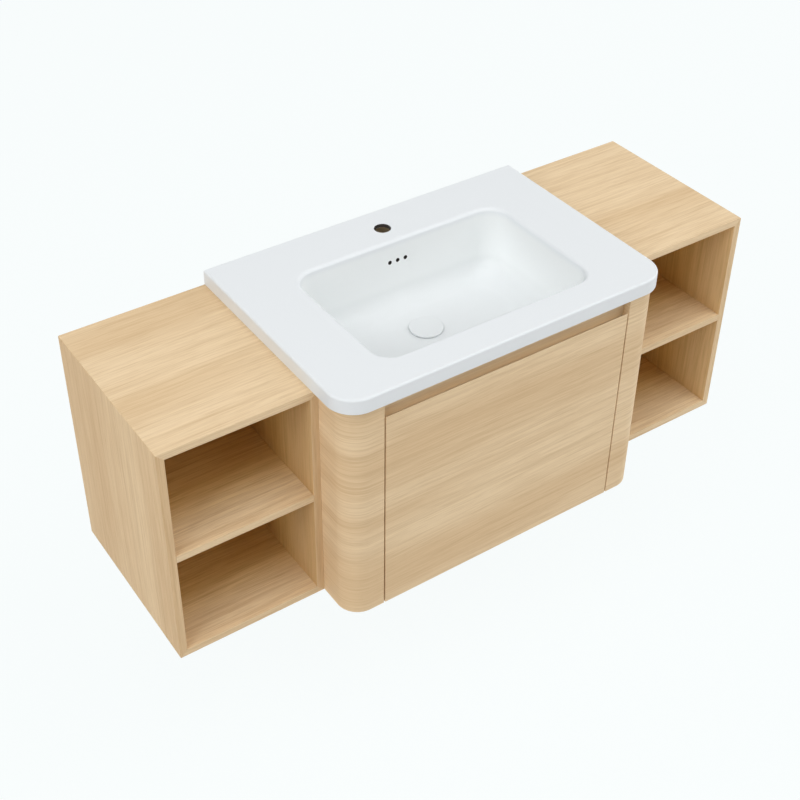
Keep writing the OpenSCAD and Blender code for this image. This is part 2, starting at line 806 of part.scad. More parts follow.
module slide_cabinet_member(side) {
    color(STEEL) handed(side) difference() {
        channel(bay_x, lip_x, slide_h);
        web_holes(bay_x - steel_t, bay_x);
    }
}

module slide_middle_member(side) {
    color(STEEL) handed(side) channel(middle_web_x, lip_x, middle_h);
}

module slide_drawer_member(side) {
    color(STEEL) handed(side) difference() {
        channel(drawer_x, inner_lip_x, inner_h);
        web_holes(drawer_x, drawer_x + steel_t);
    }
}

// The balls run where two members still overlap at full travel: at the back for the outer rows, and at
// the front for the inner ones.
module slide_balls(side) {
    outer_z = slide_h / 2 - steel_t - row_gap / 2;
    inner_z = middle_h / 2 - steel_t - row_gap / 2;
    run = slide_len - travel / 2 - 2 * ball_margin;
    color(CHROME) handed(side) for (s = [-1, 1], i = [0 : ball_count - 1]) {
        step = ball_margin + i * run / (ball_count - 1);
        translate([(lip_x + middle_web_x) / 2, -(slide_y0 - slide_len + step), slide_z + s * outer_z])
            sphere(d = ball_d);
        translate([(lip_x + inner_lip_x) / 2, -(slide_y0 - step), slide_z + s * inner_z])
            sphere(d = ball_d);
    }
}

// Screws of a slide member: face_x is the web face that they hold, and into the way to the board.
module slide_screws(face_x, into) {
    depth = steel_t + slide_screw_bite;
    shank_x = into > 0 ? face_x : face_x - depth;
    head_x = into > 0 ? face_x - slide_screw_head_h : face_x;
    color(STEEL) for (side = [LEFT, RIGHT]) handed(side) slide_screw_places() {
        bar_x(shank_x, shank_x + depth, 0, 0, slide_screw_d);
        bar_x(head_x, head_x + slide_screw_head_h, 0, 0, slide_screw_head_d);
    }
}

module housing_slide_screws() {
    slide_screws(bay_x - steel_t, 1);
}

module drawer_slide_screws() {
    slide_screws(drawer_x + steel_t, -1);
}

side_panel(LEFT);  // left_side_panel
side_panel(RIGHT);  // right_side_panel
corner_post(LEFT);  // left_corner_post
corner_post(RIGHT);  // right_corner_post
housing_side(LEFT);  // left_housing_side
housing_side(RIGHT);  // right_housing_side
bottom_panel();
pull_rail();
upper_back_rail();
lower_back_rail();
box_top(LEFT);  // left_box_top
box_bottom(LEFT);  // left_box_bottom
box_outer_side(LEFT);  // left_box_outer_side
box_inner_side(LEFT);  // left_box_inner_side
box_back(LEFT);  // left_box_back
box_shelf(LEFT);  // left_box_shelf
box_hanging_rail(LEFT);  // left_box_hanging_rail
box_dowels(LEFT);  // left_box_dowels
box_screws(LEFT);  // left_box_screws
box_top(RIGHT);  // right_box_top
box_bottom(RIGHT);  // right_box_bottom
box_outer_side(RIGHT);  // right_box_outer_side
box_inner_side(RIGHT);  // right_box_inner_side
box_back(RIGHT);  // right_box_back
box_shelf(RIGHT);  // right_box_shelf
box_hanging_rail(RIGHT);  // right_box_hanging_rail
box_dowels(RIGHT);  // right_box_dowels
box_screws(RIGHT);  // right_box_screws
basin();
drain_body();
drain_gasket();
drain_seal();
drain_locknut();
tailpiece();
popup_cap();
popup_stem();
popup_seal();
drawer_front();
drawer_side(LEFT);  // drawer_left_side
drawer_side(RIGHT);  // drawer_right_side
drawer_inner_front();
drawer_bottom();
drawer_back(LEFT);  // drawer_left_back
drawer_back(RIGHT);  // drawer_right_back
notch_side_board(LEFT);  // notch_left_board
notch_side_board(RIGHT);  // notch_right_board
notch_front_board();
drawer_front_screws();
drawer_bumpers();
housing_slide_screws();
drawer_slide_screws();
slide_cabinet_member(LEFT);  // left_slide_cabinet_member
slide_middle_member(LEFT);  // left_slide_middle_member
slide_drawer_member(LEFT);  // left_slide_drawer_member
slide_balls(LEFT);  // left_slide_balls
slide_cabinet_member(RIGHT);  // right_slide_cabinet_member
slide_middle_member(RIGHT);  // right_slide_middle_member
slide_drawer_member(RIGHT);  // right_slide_drawer_member
slide_balls(RIGHT);  // right_slide_balls
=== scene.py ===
import json
from math import atan2, cos, pi, radians, sin

import bmesh
import bpy
from mathutils import Matrix, Vector


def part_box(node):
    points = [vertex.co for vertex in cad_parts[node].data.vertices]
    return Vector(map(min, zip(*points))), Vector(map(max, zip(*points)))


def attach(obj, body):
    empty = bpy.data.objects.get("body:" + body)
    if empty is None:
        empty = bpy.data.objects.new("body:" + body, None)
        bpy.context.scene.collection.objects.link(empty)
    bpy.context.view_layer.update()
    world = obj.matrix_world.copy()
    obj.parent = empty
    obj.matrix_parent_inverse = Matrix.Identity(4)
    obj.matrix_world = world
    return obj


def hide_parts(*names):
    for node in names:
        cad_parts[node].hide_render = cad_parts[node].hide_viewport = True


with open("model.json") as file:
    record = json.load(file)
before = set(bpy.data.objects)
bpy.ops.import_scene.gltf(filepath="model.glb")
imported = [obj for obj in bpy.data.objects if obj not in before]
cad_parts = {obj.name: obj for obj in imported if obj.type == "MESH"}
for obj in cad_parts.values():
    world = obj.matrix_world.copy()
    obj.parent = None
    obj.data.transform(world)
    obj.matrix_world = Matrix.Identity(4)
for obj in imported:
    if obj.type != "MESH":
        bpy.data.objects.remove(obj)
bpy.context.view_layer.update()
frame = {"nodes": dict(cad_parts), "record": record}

# ------------------------------------------------------------------------------------------------
# Oak veneer
# Every board that shows is faced with one light, straight-grained oak veneer under matt lacquer.
# Broad soft bands of warmer wood, long streaks, fine fibres and short open pores all run with the grain.
# ------------------------------------------------------------------------------------------------


def add_node(tree, kind, inputs=None, **settings):
    """Adds a node, and sets each input to a value or joins it to another node's output."""
    node = tree.nodes.new(kind)
    for name, value in settings.items():
        setattr(node, name, value)
    for socket, value in (inputs or {}).items():
        if isinstance(value, bpy.types.NodeSocket):
            tree.links.new(value, node.inputs[socket])
        else:
            node.inputs[socket].default_value = value
    return node


def calculate(tree, operation, first, second=0.0):
    """One step of arithmetic on values."""
    return add_node(tree, "ShaderNodeMath", {0: first, 1: second}, operation=operation).outputs[0]


def stretch(tree, place, along, across):
    """Scales a place so that a pattern is long with the grain and narrow across it."""
    size = (along, across, across)
    return add_node(tree, "ShaderNodeVectorMath", {0: place, 1: size}, operation="MULTIPLY").outputs[0]


def noise(tree, place, seed, detail, roughness=0.5):
    """Cloudy pattern from 0 to 1, different for every seed."""
    values = {"Vector": place, "W": seed, "Scale": 1.0, "Detail": detail, "Roughness": roughness}
    return add_node(tree, "ShaderNodeTexNoise", values, noise_dimensions="4D")


def ramp(tree, value, low, high):
    """Turns the stretch from low to high into a soft step from 0 to 1."""
    values = {"Value": value, "From Min": low, "From Max": high}
    return add_node(tree, "ShaderNodeMapRange", values, interpolation_type="SMOOTHSTEP").outputs[0]


def blend_colours(tree, share, first, second):
    """Mixes two colours."""
    values = {0: share, 6: first, 7: second}
    return add_node(tree, "ShaderNodeMix", values, data_type="RGBA").outputs[2]


# Scales are counts per metre, first along the grain and then across it. Edges are the stretch of a pattern's
# value over which it comes in, and shares are the most that it adds of the line colour.
log_turn = 0.64
drift_scale, drift_reach = (1.6, 7.0), 0.022
band_scale, band_edges = (0.9, 9.0), (0.40, 0.66)
streak_scale, streak_edges, streak_share = (3.0, 120.0), (0.40, 0.72), 0.30
fibre_scale, fibre_edges, fibre_share = (11.0, 430.0), (0.38, 0.72), 0.32
pore_scale, pore_edges, pore_share = (38.0, 1500.0), (0.60, 0.72), 0.24
smooth_lacquer, fibre_rough, pore_rough = 0.40, 0.22, 0.15
fibre_height = 0.5


def build_oak_figure():
    """The veneer's figure, for a place whose X runs with the grain."""
    tree = bpy.data.node_groups.new("oak figure", "ShaderNodeTree")
    for name, kind in (
        ("Place", "NodeSocketVector"), ("Figure", "NodeSocketFloat"), ("Pale", "NodeSocketColor"),
        ("Warm", "NodeSocketColor"), ("Line", "NodeSocketColor"),
    ):
        tree.interface.new_socket(name, in_out="INPUT", socket_type=kind)
    for name, kind in (
        ("Color", "NodeSocketColor"), ("Roughness", "NodeSocketFloat"), ("Height", "NodeSocketFloat"),
    ):
        tree.interface.new_socket(name, in_out="OUTPUT", socket_type=kind)
    given = add_node(tree, "NodeGroupInput").outputs
    seed = calculate(tree, "ADD", given["Figure"], 0.5)
    log = add_node(tree, "ShaderNodeVectorRotate", {"Vector": given["Place"], "Angle": log_turn},
                   rotation_type="X_AXIS").outputs[0]

    drift = noise(tree, stretch(tree, log, *drift_scale), seed, 2.0).outputs["Color"]
    drift = add_node(tree, "ShaderNodeVectorMath", {0: drift, 1: (0.5, 0.5, 0.5)}, operation="SUBTRACT")
    drift = stretch(tree, drift.outputs[0], 0.0, drift_reach)
    place = add_node(tree, "ShaderNodeVectorMath", {0: log, 1: drift}, operation="ADD").outputs[0]

    bands = noise(tree, stretch(tree, place, *band_scale), seed, 2.0).outputs[0]
    streaks = noise(tree, stretch(tree, place, *streak_scale), seed, 3.0, 0.62).outputs[0]
    fibres = noise(tree, stretch(tree, place, *fibre_scale), seed, 2.0, 0.6).outputs[0]
    pores = noise(tree, stretch(tree, place, *pore_scale), seed, 1.0).outputs[0]
    pores = ramp(tree, pores, *pore_edges)

    colour = blend_colours(tree, ramp(tree, bands, *band_edges), given["Pale"], given["Warm"])
    lines = calculate(tree, "MULTIPLY", ramp(tree, streaks, *streak_edges), streak_share)
    colour = blend_colours(tree, lines, colour, given["Line"])
    lines = calculate(tree, "MULTIPLY", ramp(tree, fibres, *fibre_edges), fibre_share)
    colour = blend_colours(tree, lines, colour, given["Line"])
    colour = blend_colours(tree, calculate(tree, "MULTIPLY", pores, pore_share), colour, given["Line"])

    rough = calculate(tree, "MULTIPLY", fibres, fibre_rough)
    rough = calculate(tree, "ADD", rough, calculate(tree, "MULTIPLY", pores, pore_rough))
    height = calculate(tree, "MULTIPLY", fibres, fibre_height)
    height = calculate(tree, "SUBTRACT", height, pores)
    values = {"Color": colour, "Roughness": calculate(tree, "ADD", rough, smooth_lacquer), "Height": height}
    add_node(tree, "NodeGroupOutput", values)
    return tree


oak_figure = build_oak_figure()
front_face_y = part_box("drawer_front")[0].y


def new_material(name, metallic=0.0):
    """An empty material and its shader."""
    material = bpy.data.materials.new(name)
    material.use_nodes = True
    shader = material.node_tree.nodes["Principled BSDF"]
    shader.inputs["Metallic"].default_value = metallic
    return material, shader


grain_bump, grain_depth = 0.25, 0.0003
lacquer_gloss = 0.06


def wood(name, way, pale, warm, line):
    """Wood whose grain runs along X, Y or Z, or is wrapped round a corner with the piece's own map."""
    material, shader = new_material(name)
    tree = material.node_tree
    place = add_node(tree, "ShaderNodeTexCoord").outputs["Object"]
    if way == "wrapped":
        place = add_node(tree, "ShaderNodeUVMap", uv_map="grain").outputs[0]
    axes = add_node(tree, "ShaderNodeSeparateXYZ", {0: place}).outputs
    order = {
        "x": (axes["X"], axes["Y"], axes["Z"]), "y": (axes["Y"], axes["X"], axes["Z"]),
        "z": (axes["Z"], axes["Y"], axes["X"]), "wrapped": (axes["X"], front_face_y, axes["Y"]),
    }[way]
    place = add_node(tree, "ShaderNodeCombineXYZ", dict(enumerate(order))).outputs[0]
    figure = add_node(tree, "ShaderNodeAttribute", attribute_name="figure").outputs["Fac"]
    values = {"Place": place, "Figure": figure, "Pale": pale, "Warm": warm, "Line": line}
    grain = add_node(tree, "ShaderNodeGroup", values, node_tree=oak_figure)
    values = {"Height": grain.outputs["Height"], "Strength": grain_bump, "Distance": grain_depth}
    bump = add_node(tree, "ShaderNodeBump", values)
    tree.links.new(grain.outputs["Color"], shader.inputs["Base Color"])
    tree.links.new(grain.outputs["Roughness"], shader.inputs["Roughness"])
    tree.links.new(bump.outputs[0], shader.inputs["Normal"])
    shader.inputs["Specular IOR Level"].default_value = lacquer_gloss
    return material


oak_pale = (0.893, 0.697, 0.455, 1.0)
oak_warm = (0.812, 0.607, 0.374, 1.0)
front_warm = (0.784, 0.575, 0.348, 1.0)
oak_line = (0.564, 0.364, 0.182, 1.0)
oak = {
    "x": wood("light oak veneer, grain x", "x", oak_pale, oak_warm, oak_line),
    "front": wood("light oak veneer of the drawer front", "x", oak_pale, front_warm, oak_line),
    "wrapped": wood("light oak veneer, grain wrapped", "wrapped", oak_pale, front_warm, oak_line),
}
upright_pale = (0.850, 0.642, 0.398, 1.0)
upright_warm = (0.746, 0.528, 0.305, 1.0)
upright_line = (0.537, 0.336, 0.160, 1.0)
oak["z"] = wood("light oak veneer, grain z", "z", upright_pale, upright_warm, upright_line)
# The rail behind the finger pull gets a paler, brighter veneer: painted light where the basin's edge shades
# it.
oak["pull"] = wood("oak veneer with painted light behind the finger pull", "x", (0.950, 0.800, 0.570, 1.0),
                   (0.910, 0.740, 0.500, 1.0), (0.720, 0.520, 0.310, 1.0))

# ------------------------------------------------------------------------------------------------
# Boards of the centre cabinet
# 16 mm veneered board: two sides, the housing sides that carry the drawer, the bottom, the rail behind the
# finger pull, and two back rails with the wall-screw holes. Glued and dowelled, with every arris eased.
# ------------------------------------------------------------------------------------------------
arris = 0.0008
wall_hole_r = 0.004


def alone(piece):
    """Selects one piece and nothing else."""
    bpy.ops.object.select_all(action="DESELECT")
    piece.select_set(True)
    bpy.context.view_layer.objects.active = piece


def add_block(name, low, high):
    """A block from its lowest to its highest corner."""
    low, high = Vector(low), Vector(high)
    bpy.ops.object.select_all(action="DESELECT")
    bpy.ops.mesh.primitive_cube_add(size=1, location=(low + high) / 2, scale=high - low)
    bpy.ops.object.transform_apply()
    bpy.context.object.name = name
    return bpy.context.object


def add_round(name, start, end, radius, sides=64):
    """A round bar from one point to another."""
    start, end = Vector(start), Vector(end)
    turn = (end - start).to_track_quat("Z", "Y").to_euler()
    bpy.ops.object.select_all(action="DESELECT")
    bpy.ops.mesh.primitive_cylinder_add(vertices=sides, radius=radius, depth=(end - start).length,
                                        location=(start + end) / 2, rotation=turn)
    bpy.ops.object.transform_apply()
    bpy.context.object.name = name
    return bpy.context.object


def choose(piece, kind, test):
    """Opens a piece for editing with only those of its verts, edges or faces selected that pass the test."""
    alone(piece)
    bpy.ops.object.mode_set(mode="EDIT")
    bpy.ops.mesh.select_mode(type={"verts": "VERT", "edges": "EDGE", "faces": "FACE"}[kind])
    bpy.ops.mesh.select_all(action="DESELECT")
    shape = bmesh.from_edit_mesh(piece.data)
    for part in getattr(shape, kind):
        if test(part):
            part.select_set(True)
    bmesh.update_edit_mesh(piece.data)


def done():
    """Closes the piece that is being edited."""
    bpy.ops.object.mode_set(mode="OBJECT")


def apply_modifier(piece, kind, **settings):
    """Adds a modifier and applies it at once."""
    alone(piece)
    modifier = piece.modifiers.new(kind.lower(), kind)
    for name, value in settings.items():
        setattr(modifier, name, value)
    bpy.ops.object.modifier_apply(modifier=modifier.name)


def cut(piece, tool, operation="DIFFERENCE"):
    """Cuts a tool's shape out of a piece, or joins it on, and takes the tool away."""
    apply_modifier(piece, "BOOLEAN", object=tool, operation=operation, solver="EXACT")
    bpy.data.objects.remove(tool)


def ease(piece, width, steps=2, angle=40):
    """Rounds every outward edge that is sharper than an angle."""
    choose(piece, "edges", lambda edge: edge.is_convex and edge.calc_face_angle(0.0) > radians(angle))
    bpy.ops.mesh.bevel(offset=width, segments=steps, affect="EDGES")
    done()


def finish(piece, body, slot, material, *nodes, figure=0.0):
    """Smooths a made piece, gives it its material and figure, and puts it in its nodes' place."""
    alone(piece)
    bpy.ops.object.shade_smooth_by_angle(angle=radians(35))
    apply_modifier(piece, "WEIGHTED_NORMAL", keep_sharp=True, weight=80)
    piece.data.materials.clear()
    piece.data.materials.append(material)
    mark = piece.data.attributes.new("figure", "FLOAT", "POINT")
    for point in mark.data:
        point.value = figure
    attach(piece, body)
    if nodes:
        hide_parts(*nodes)


def add_oak_board(node, way, figure):
    """A plain veneered board in a node's place, with eased edges."""
    board = add_block(f"{node}_board", *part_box(node))
    ease(board, arris)
    finish(board, "cabinet", "oak_veneer", oak[way], node, figure=figure)
    return board


for node, way, figure in (
    ("left_side_panel", "z", 1.0), ("right_side_panel", "z", 2.0),
    ("left_housing_side", "z", 3.0), ("right_housing_side", "z", 4.0), ("pull_rail", "pull", 5.0),
):
    add_oak_board(node, way, figure)


def add_drilled_board(node, figure):
    """A board with the wall-screw holes that lie in it."""
    low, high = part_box(node)
    board = add_block(f"{node}_board", low, high)
    ease(board, arris)
    for mount in frame["record"]["mounts"]:
        if mount["kind"] != "bolt_pattern":
            continue
        middle, size = Vector(mount["pos_m"]), mount["dims"]
        half_x = size["spacing_x_mm"] / 2000
        half_z = size.get("spacing_y_mm", 0) / 2000
        for x in (middle.x - half_x, middle.x + half_x):
            for z in {middle.z - half_z, middle.z + half_z}:
                if low.x < x < high.x and low.z < z < high.z:
                    cut(board, add_round("drill", (x, low.y - arris, z), (x, high.y + arris, z),
                                         wall_hole_r))
    finish(board, "cabinet", "oak_veneer", oak["x"], node, figure=figure)
    return board


add_drilled_board("upper_back_rail", 6.0)
add_drilled_board("lower_back_rail", 7.0)

# ------------------------------------------------------------------------------------------------
# Rounded corner posts
# Bent panels: a short leg behind the side box's front, a quarter round, and the flat strip beside the
# drawer. The veneer's grain lies level and wraps round the corner, in line with the drawer front's.
# ------------------------------------------------------------------------------------------------
corner_steps = 24
corner_outer_r = 0.047
panel_t = 0.016
front_figure = 43.80


def add_corner_post(side, sign):
    """A post swept from its back end, round the corner and along the strip."""
    low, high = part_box(f"{side}_corner_post")
    outer_x = high.x if sign > 0 else low.x
    inner_x = low.x if sign > 0 else high.x
    turn_x = outer_x - sign * corner_outer_r
    turn_y = low.y + corner_outer_r
    leg_end_x = outer_x - sign * panel_t
    leg_low = (min(outer_x, leg_end_x), turn_y, low.z)
    leg_high = (max(outer_x, leg_end_x), high.y, high.z)
    post = add_block(f"{side}_corner_post_bent", leg_low, leg_high)
    choose(post, "faces", lambda face: face.normal.y < -0.9)
    bpy.ops.mesh.spin(steps=corner_steps, angle=sign * pi / 2, center=(turn_x, turn_y, 0),
                      axis=(0, 0, 1))
    bpy.ops.mesh.extrude_region_move(TRANSFORM_OT_translate={"value": (inner_x - turn_x, 0, 0)})
    bpy.ops.mesh.select_all(action="SELECT")
    bpy.ops.mesh.remove_doubles(threshold=0.00001)
    bpy.ops.mesh.normals_make_consistent(inside=False)
    done()
    ease(post, arris)

    grain = post.data.uv_layers.new(name="grain").data
    for loop in post.data.loops:
        place = post.data.vertices[loop.vertex_index].co
        across, ahead = sign * (place.x - turn_x), turn_y - place.y
        if across <= 0:
            run = across
        elif ahead >= 0:
            run = corner_outer_r * atan2(across, ahead)
        else:
            run = corner_outer_r * pi / 2 - ahead
        grain[loop.index].uv = (turn_x + sign * run, place.z)
    finish(post, "cabinet", "oak_veneer", oak["wrapped"], f"{side}_corner_post", figure=front_figure)


add_corner_post("left", -1)
add_corner_post("right", 1)

# ------------------------------------------------------------------------------------------------
# Bottom of the centre cabinet
# One veneered board let in between the sides, with the corner posts' quarter rounds at its front.
# Its front edge stands back behind the drawer front.
# ------------------------------------------------------------------------------------------------
front_gap = 0.0015
seam = 0.003
corner_inner_r = corner_outer_r - panel_t
low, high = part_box("bottom_panel")
bay_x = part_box("drawer_front")[1].x + seam
bottom = add_block("bottom_panel_board", low, high)
choose(bottom, "edges", lambda edge: all(point.co.y < low.y + arris for point in edge.verts)
       and abs(edge.verts[0].co.z - edge.verts[1].co.z) > arris)
bpy.ops.mesh.bevel(offset=corner_inner_r, segments=corner_steps, affect="EDGES")
done()
cut(bottom, add_block("tool", (-bay_x, low.y - seam, low.z - seam),
                      (bay_x, low.y + front_gap, high.z + seam)))
ease(bottom, arris)
finish(bottom, "cabinet", "oak_veneer", oak["x"], "bottom_panel", figure=8.0)

# ------------------------------------------------------------------------------------------------
# Open side boxes
# Four veneered boards mitred at all corners, grain level in the top and bottom and upright in the sides.
# Each box is glued up as one frame and then holds a shelf, a thin back and the rail it hangs on.
# ------------------------------------------------------------------------------------------------
outer_round = 0.0022
SIDES = (("left", -1), ("right", 1))


def trim(piece, point, normal):
    """Cuts a piece along a plane, drops what the normal points to, and closes the cut."""
    alone(piece)
    bpy.ops.object.mode_set(mode="EDIT")
    bpy.ops.mesh.select_all(action="SELECT")
    bpy.ops.mesh.bisect(plane_co=point, plane_no=normal, use_fill=True, clear_outer=True)
    done()


def add_box_frame(side, sign):
    """The whole frame of a box, before it is parted at the mitres."""
    inner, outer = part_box(f"{side}_box_inner_side"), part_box(f"{side}_box_outer_side")
    low = Vector(map(min, inner[0], outer[0]))
    high = Vector(map(max, inner[1], outer[1]))
    ring = add_block(f"{side}_box_frame", low, high)
    choose(ring, "faces", lambda face: abs(face.normal.y) > 0.9)
    bpy.ops.mesh.inset(thickness=panel_t)
    bpy.ops.mesh.bridge_edge_loops()
    done()
    far_x = high.x if sign > 0 else low.x
    choose(ring, "edges", lambda edge: all(abs(point.co.x - far_x) < arris for point in edge.verts)
           and edge.is_convex and abs(edge.verts[0].co.y - edge.verts[1].co.y) > arris
           and min(abs(edge.verts[0].co.z - low.z), abs(edge.verts[0].co.z - high.z)) < arris)
    bpy.ops.mesh.bevel(offset=outer_round, segments=4, affect="EDGES")
    done()
    ease(ring, arris)
    return ring, low, high


def paint_depth_shade(material, shade_tint, front_y, deep_y):
    """Paints shade into a veneer's colour: darker and deeper from the front of a box to its depth."""
    tree = material.node_tree
    base = tree.nodes["Principled BSDF"].inputs["Base Color"]
    place = add_node(tree, "ShaderNodeTexCoord").outputs["Object"]
    depth = add_node(tree, "ShaderNodeSeparateXYZ", {0: place}).outputs["Y"]
    values = {0: ramp(tree, depth, front_y, deep_y), 6: base.links[0].from_socket, 7: shade_tint}
    depth_shade = add_node(tree, "ShaderNodeMix", values, data_type="RGBA", blend_type="MULTIPLY")
    tree.links.new(depth_shade.outputs[2], base)


# The boxes' insides get their own copy of the oak: the upright one has a deeper tone, which is painted shade,
# and the level one has stronger grain.
inside = {
    "x": wood("oak veneer of the inside with painted shade, grain x", "x", (0.940, 0.750, 0.490, 1.0),
              (0.835, 0.630, 0.392, 1.0), (0.445, 0.245, 0.090, 1.0)),
    "z": wood("oak veneer of the inside with painted shade, grain z", "z", (0.840, 0.602, 0.324, 1.0),
              (0.737, 0.491, 0.243, 1.0), (0.523, 0.338, 0.130, 1.0)),
}
# The insides grow darker towards the back of each box: painted shade.
shade_front_y, shade_deep_y = -0.37, -0.25
paint_depth_shade(inside["x"], (1.0, 0.88, 0.58, 1.0), shade_front_y, shade_deep_y)
paint_depth_shade(inside["z"], (1.0, 0.95, 0.70, 1.0), shade_front_y, shade_deep_y)
# The faces of the backs and hanging rails inside the boxes get a much darker veneer: painted shade.
back_shade_pale = (0.580, 0.365, 0.155, 1.0)
back_shade_warm = (0.500, 0.300, 0.120, 1.0)
back_shade_line = (0.390, 0.210, 0.075, 1.0)
back = wood("oak veneer of the backs with painted shade", "x", back_shade_pale, back_shade_warm, back_shade_line)


def lay_shaded_inside(board, material, test):
    """Lays the inside's veneer, a copy of the oak with painted shade, on the faces that pass the test."""
    board.data.materials.append(material)
    for face in board.data.polygons:
        if test(face.normal):
            face.material_index = 1


box_figures = {
    "left": {"top": 32.85, "bottom": 30.66, "outer_side": 89.79, "inner_side": 55.48, "shelf": 94.90,
             "back": 26.0, "hanging_rail": 27.0},
    "right": {"top": 51.83, "bottom": 42.34, "outer_side": 113.88, "inner_side": 34.0, "shelf": 62.78,
              "back": 36.0, "hanging_rail": 37.0},
}
for side, sign in SIDES:
    ring, low, high = add_box_frame(side, sign)
    middle, half = (low + high) / 2, (high - low) / 2
    outward = {"top": Vector((0, 0, 1)), "bottom": Vector((0, 0, -1)),
               "outer_side": Vector((sign, 0, 0)), "inner_side": Vector((-sign, 0, 0))}
    for board_name, way in outward.items():
        board = ring.copy()
        board.data = ring.data.copy()
        board.name = f"{side}_box_{board_name}_board"
        bpy.context.scene.collection.objects.link(board)
        for along in (Vector((way.z, 0, way.x)), Vector((-way.z, 0, -way.x))):
            corner = middle + Vector(((way + along).x * half.x, 0, (way + along).z * half.z))
            trim(board, corner, along - way)
        grain = "x" if board_name in ("top", "bottom") else "z"
        finish(board, "cabinet", "oak_veneer", oak[grain], f"{side}_box_{board_name}",
               figure=box_figures[side][board_name])
        lay_shaded_inside(board, inside[grain], lambda normal: normal.dot(way) < -0.9)
    bpy.data.objects.remove(ring)
    shelf = add_oak_board(f"{side}_box_shelf", "x", box_figures[side]["shelf"])
    lay_shaded_inside(shelf, inside["x"], lambda normal: abs(normal.z) > 0.9)
    for name in ("back", "hanging_rail"):
        board = add_drilled_board(f"{side}_box_{name}", box_figures[side][name])
        lay_shaded_inside(board, back, lambda normal: normal.y < -0.9)

# ------------------------------------------------------------------------------------------------
# Screws
# Zinc-plated steel with a low head and a cross recess. They hold the side boxes to the cabinet, the
# drawer front to its box, and both members of each slide to their boards.
# ------------------------------------------------------------------------------------------------


def build_fine_marks():
    """Faint long scratches and cloudy wipe marks, as a value round 0.5."""
    tree = bpy.data.node_groups.new("fine marks", "ShaderNodeTree")
    for name, kind in (("Place", "NodeSocketVector"), ("Along", "NodeSocketFloat"),
                       ("Across", "NodeSocketFloat")):
        tree.interface.new_socket(name, in_out="INPUT", socket_type=kind)
    tree.interface.new_socket("Value", in_out="OUTPUT", socket_type="NodeSocketFloat")
    given = add_node(tree, "NodeGroupInput").outputs
    scale = {0: given["Across"], 1: given["Along"], 2: given["Across"]}
    scale = add_node(tree, "ShaderNodeCombineXYZ", scale).outputs[0]
    scratched = add_node(tree, "ShaderNodeVectorMath", {0: given["Place"], 1: scale},
                         operation="MULTIPLY").outputs[0]
    scratches = noise(tree, scratched, 1.0, 3.0, 0.6).outputs[0]
    clouds = noise(tree, stretch(tree, given["Place"], 14.0, 14.0), 2.0, 2.0).outputs[0]
    value = calculate(tree, "ADD", calculate(tree, "MULTIPLY", scratches, 0.6),
                      calculate(tree, "MULTIPLY", clouds, 0.4))
    add_node(tree, "NodeGroupOutput", {"Value": value})
    return tree


fine_marks = build_fine_marks()


def marked_surface(name, colour, metallic, smooth, rough, along, across, depth, distance):
    """A material of one colour, whose roughness and surface vary with fine marks along Y and across it."""
    material, shader = new_material(name, metallic)
    tree = material.node_tree
    shader.inputs["Base Color"].default_value = colour
    place = add_node(tree, "ShaderNodeTexCoord").outputs["Object"]
    values = {"Place": place, "Along": along, "Across": across}
    marks = add_node(tree, "ShaderNodeGroup", values, node_tree=fine_marks)
    values = {"Value": marks.outputs[0], "From Min": 0.3, "From Max": 0.7, "To Min": smooth, "To Max": rough}
    roughness = add_node(tree, "ShaderNodeMapRange", values).outputs[0]
    tree.links.new(roughness, shader.inputs["Roughness"])
    values = {"Height": marks.outputs[0], "Strength": depth, "Distance": distance}
    bump = add_node(tree, "ShaderNodeBump", values)
    tree.links.new(bump.outputs[0], shader.inputs["Normal"])
    return material


zinc = marked_surface("zinc-plated steel", (0.60, 0.62, 0.64, 1.0), 1.0, 0.28, 0.48, 8.0, 900.0, 0.2, 0.0002)


# A head's round and its recess's floor are shares of its height. Its slots' sizes are shares of its radius.
# A shank's tip is a share of its width.
head_round, slot_floor = 0.45, 0.35
slot_reach, slot_half_w = 0.55, 0.11
shank_taper = 0.55


def add_screws(places, seat_way, head_r, head_h, shank_r, length):
    """One screw, copied to all its places. Its head faces seat_way and its shank goes the other way."""
    screw = add_round("screw", (0, 0, 0), (0, 0, head_h), head_r, 32)
    choose(screw, "edges", lambda edge: all(point.co.z > head_h / 2 for point in edge.verts))
    bpy.ops.mesh.bevel(offset=head_h * head_round, segments=3, affect="EDGES")
    done()
    for long_x, long_y in ((slot_reach, slot_half_w), (slot_half_w, slot_reach)):
        reach = Vector((head_r * long_x, head_r * long_y, 0))
        cut(screw, add_block("bit", Vector((0, 0, head_h * slot_floor)) - reach,
                             Vector((0, 0, head_h * 1.5)) + reach))
    shank = add_round("shank", (0, 0, -length), (0, 0, head_h * 0.1), shank_r, 24)
    choose(shank, "faces", lambda face: face.normal.z < -0.9)
    bpy.ops.transform.resize(value=(shank_taper, shank_taper, 1.0))
    done()
    cut(screw, shank, "UNION")
    turn = Vector(seat_way).to_track_quat("Z", "Y").to_matrix().to_4x4()
    copies = []
    for place in places:
        copy = screw.copy()
        copy.data = screw.data.copy()
        copy.data.transform(Matrix.Translation(place) @ turn)
        bpy.context.scene.collection.objects.link(copy)
        copies.append(copy)
    bpy.data.objects.remove(screw)
    return copies


def join_up(name, copies):
    """Makes one piece of several."""
    alone(copies[0])
    for copy in copies:
        copy.select_set(True)
    bpy.ops.object.join()
    copies[0].name = name
    return copies[0]


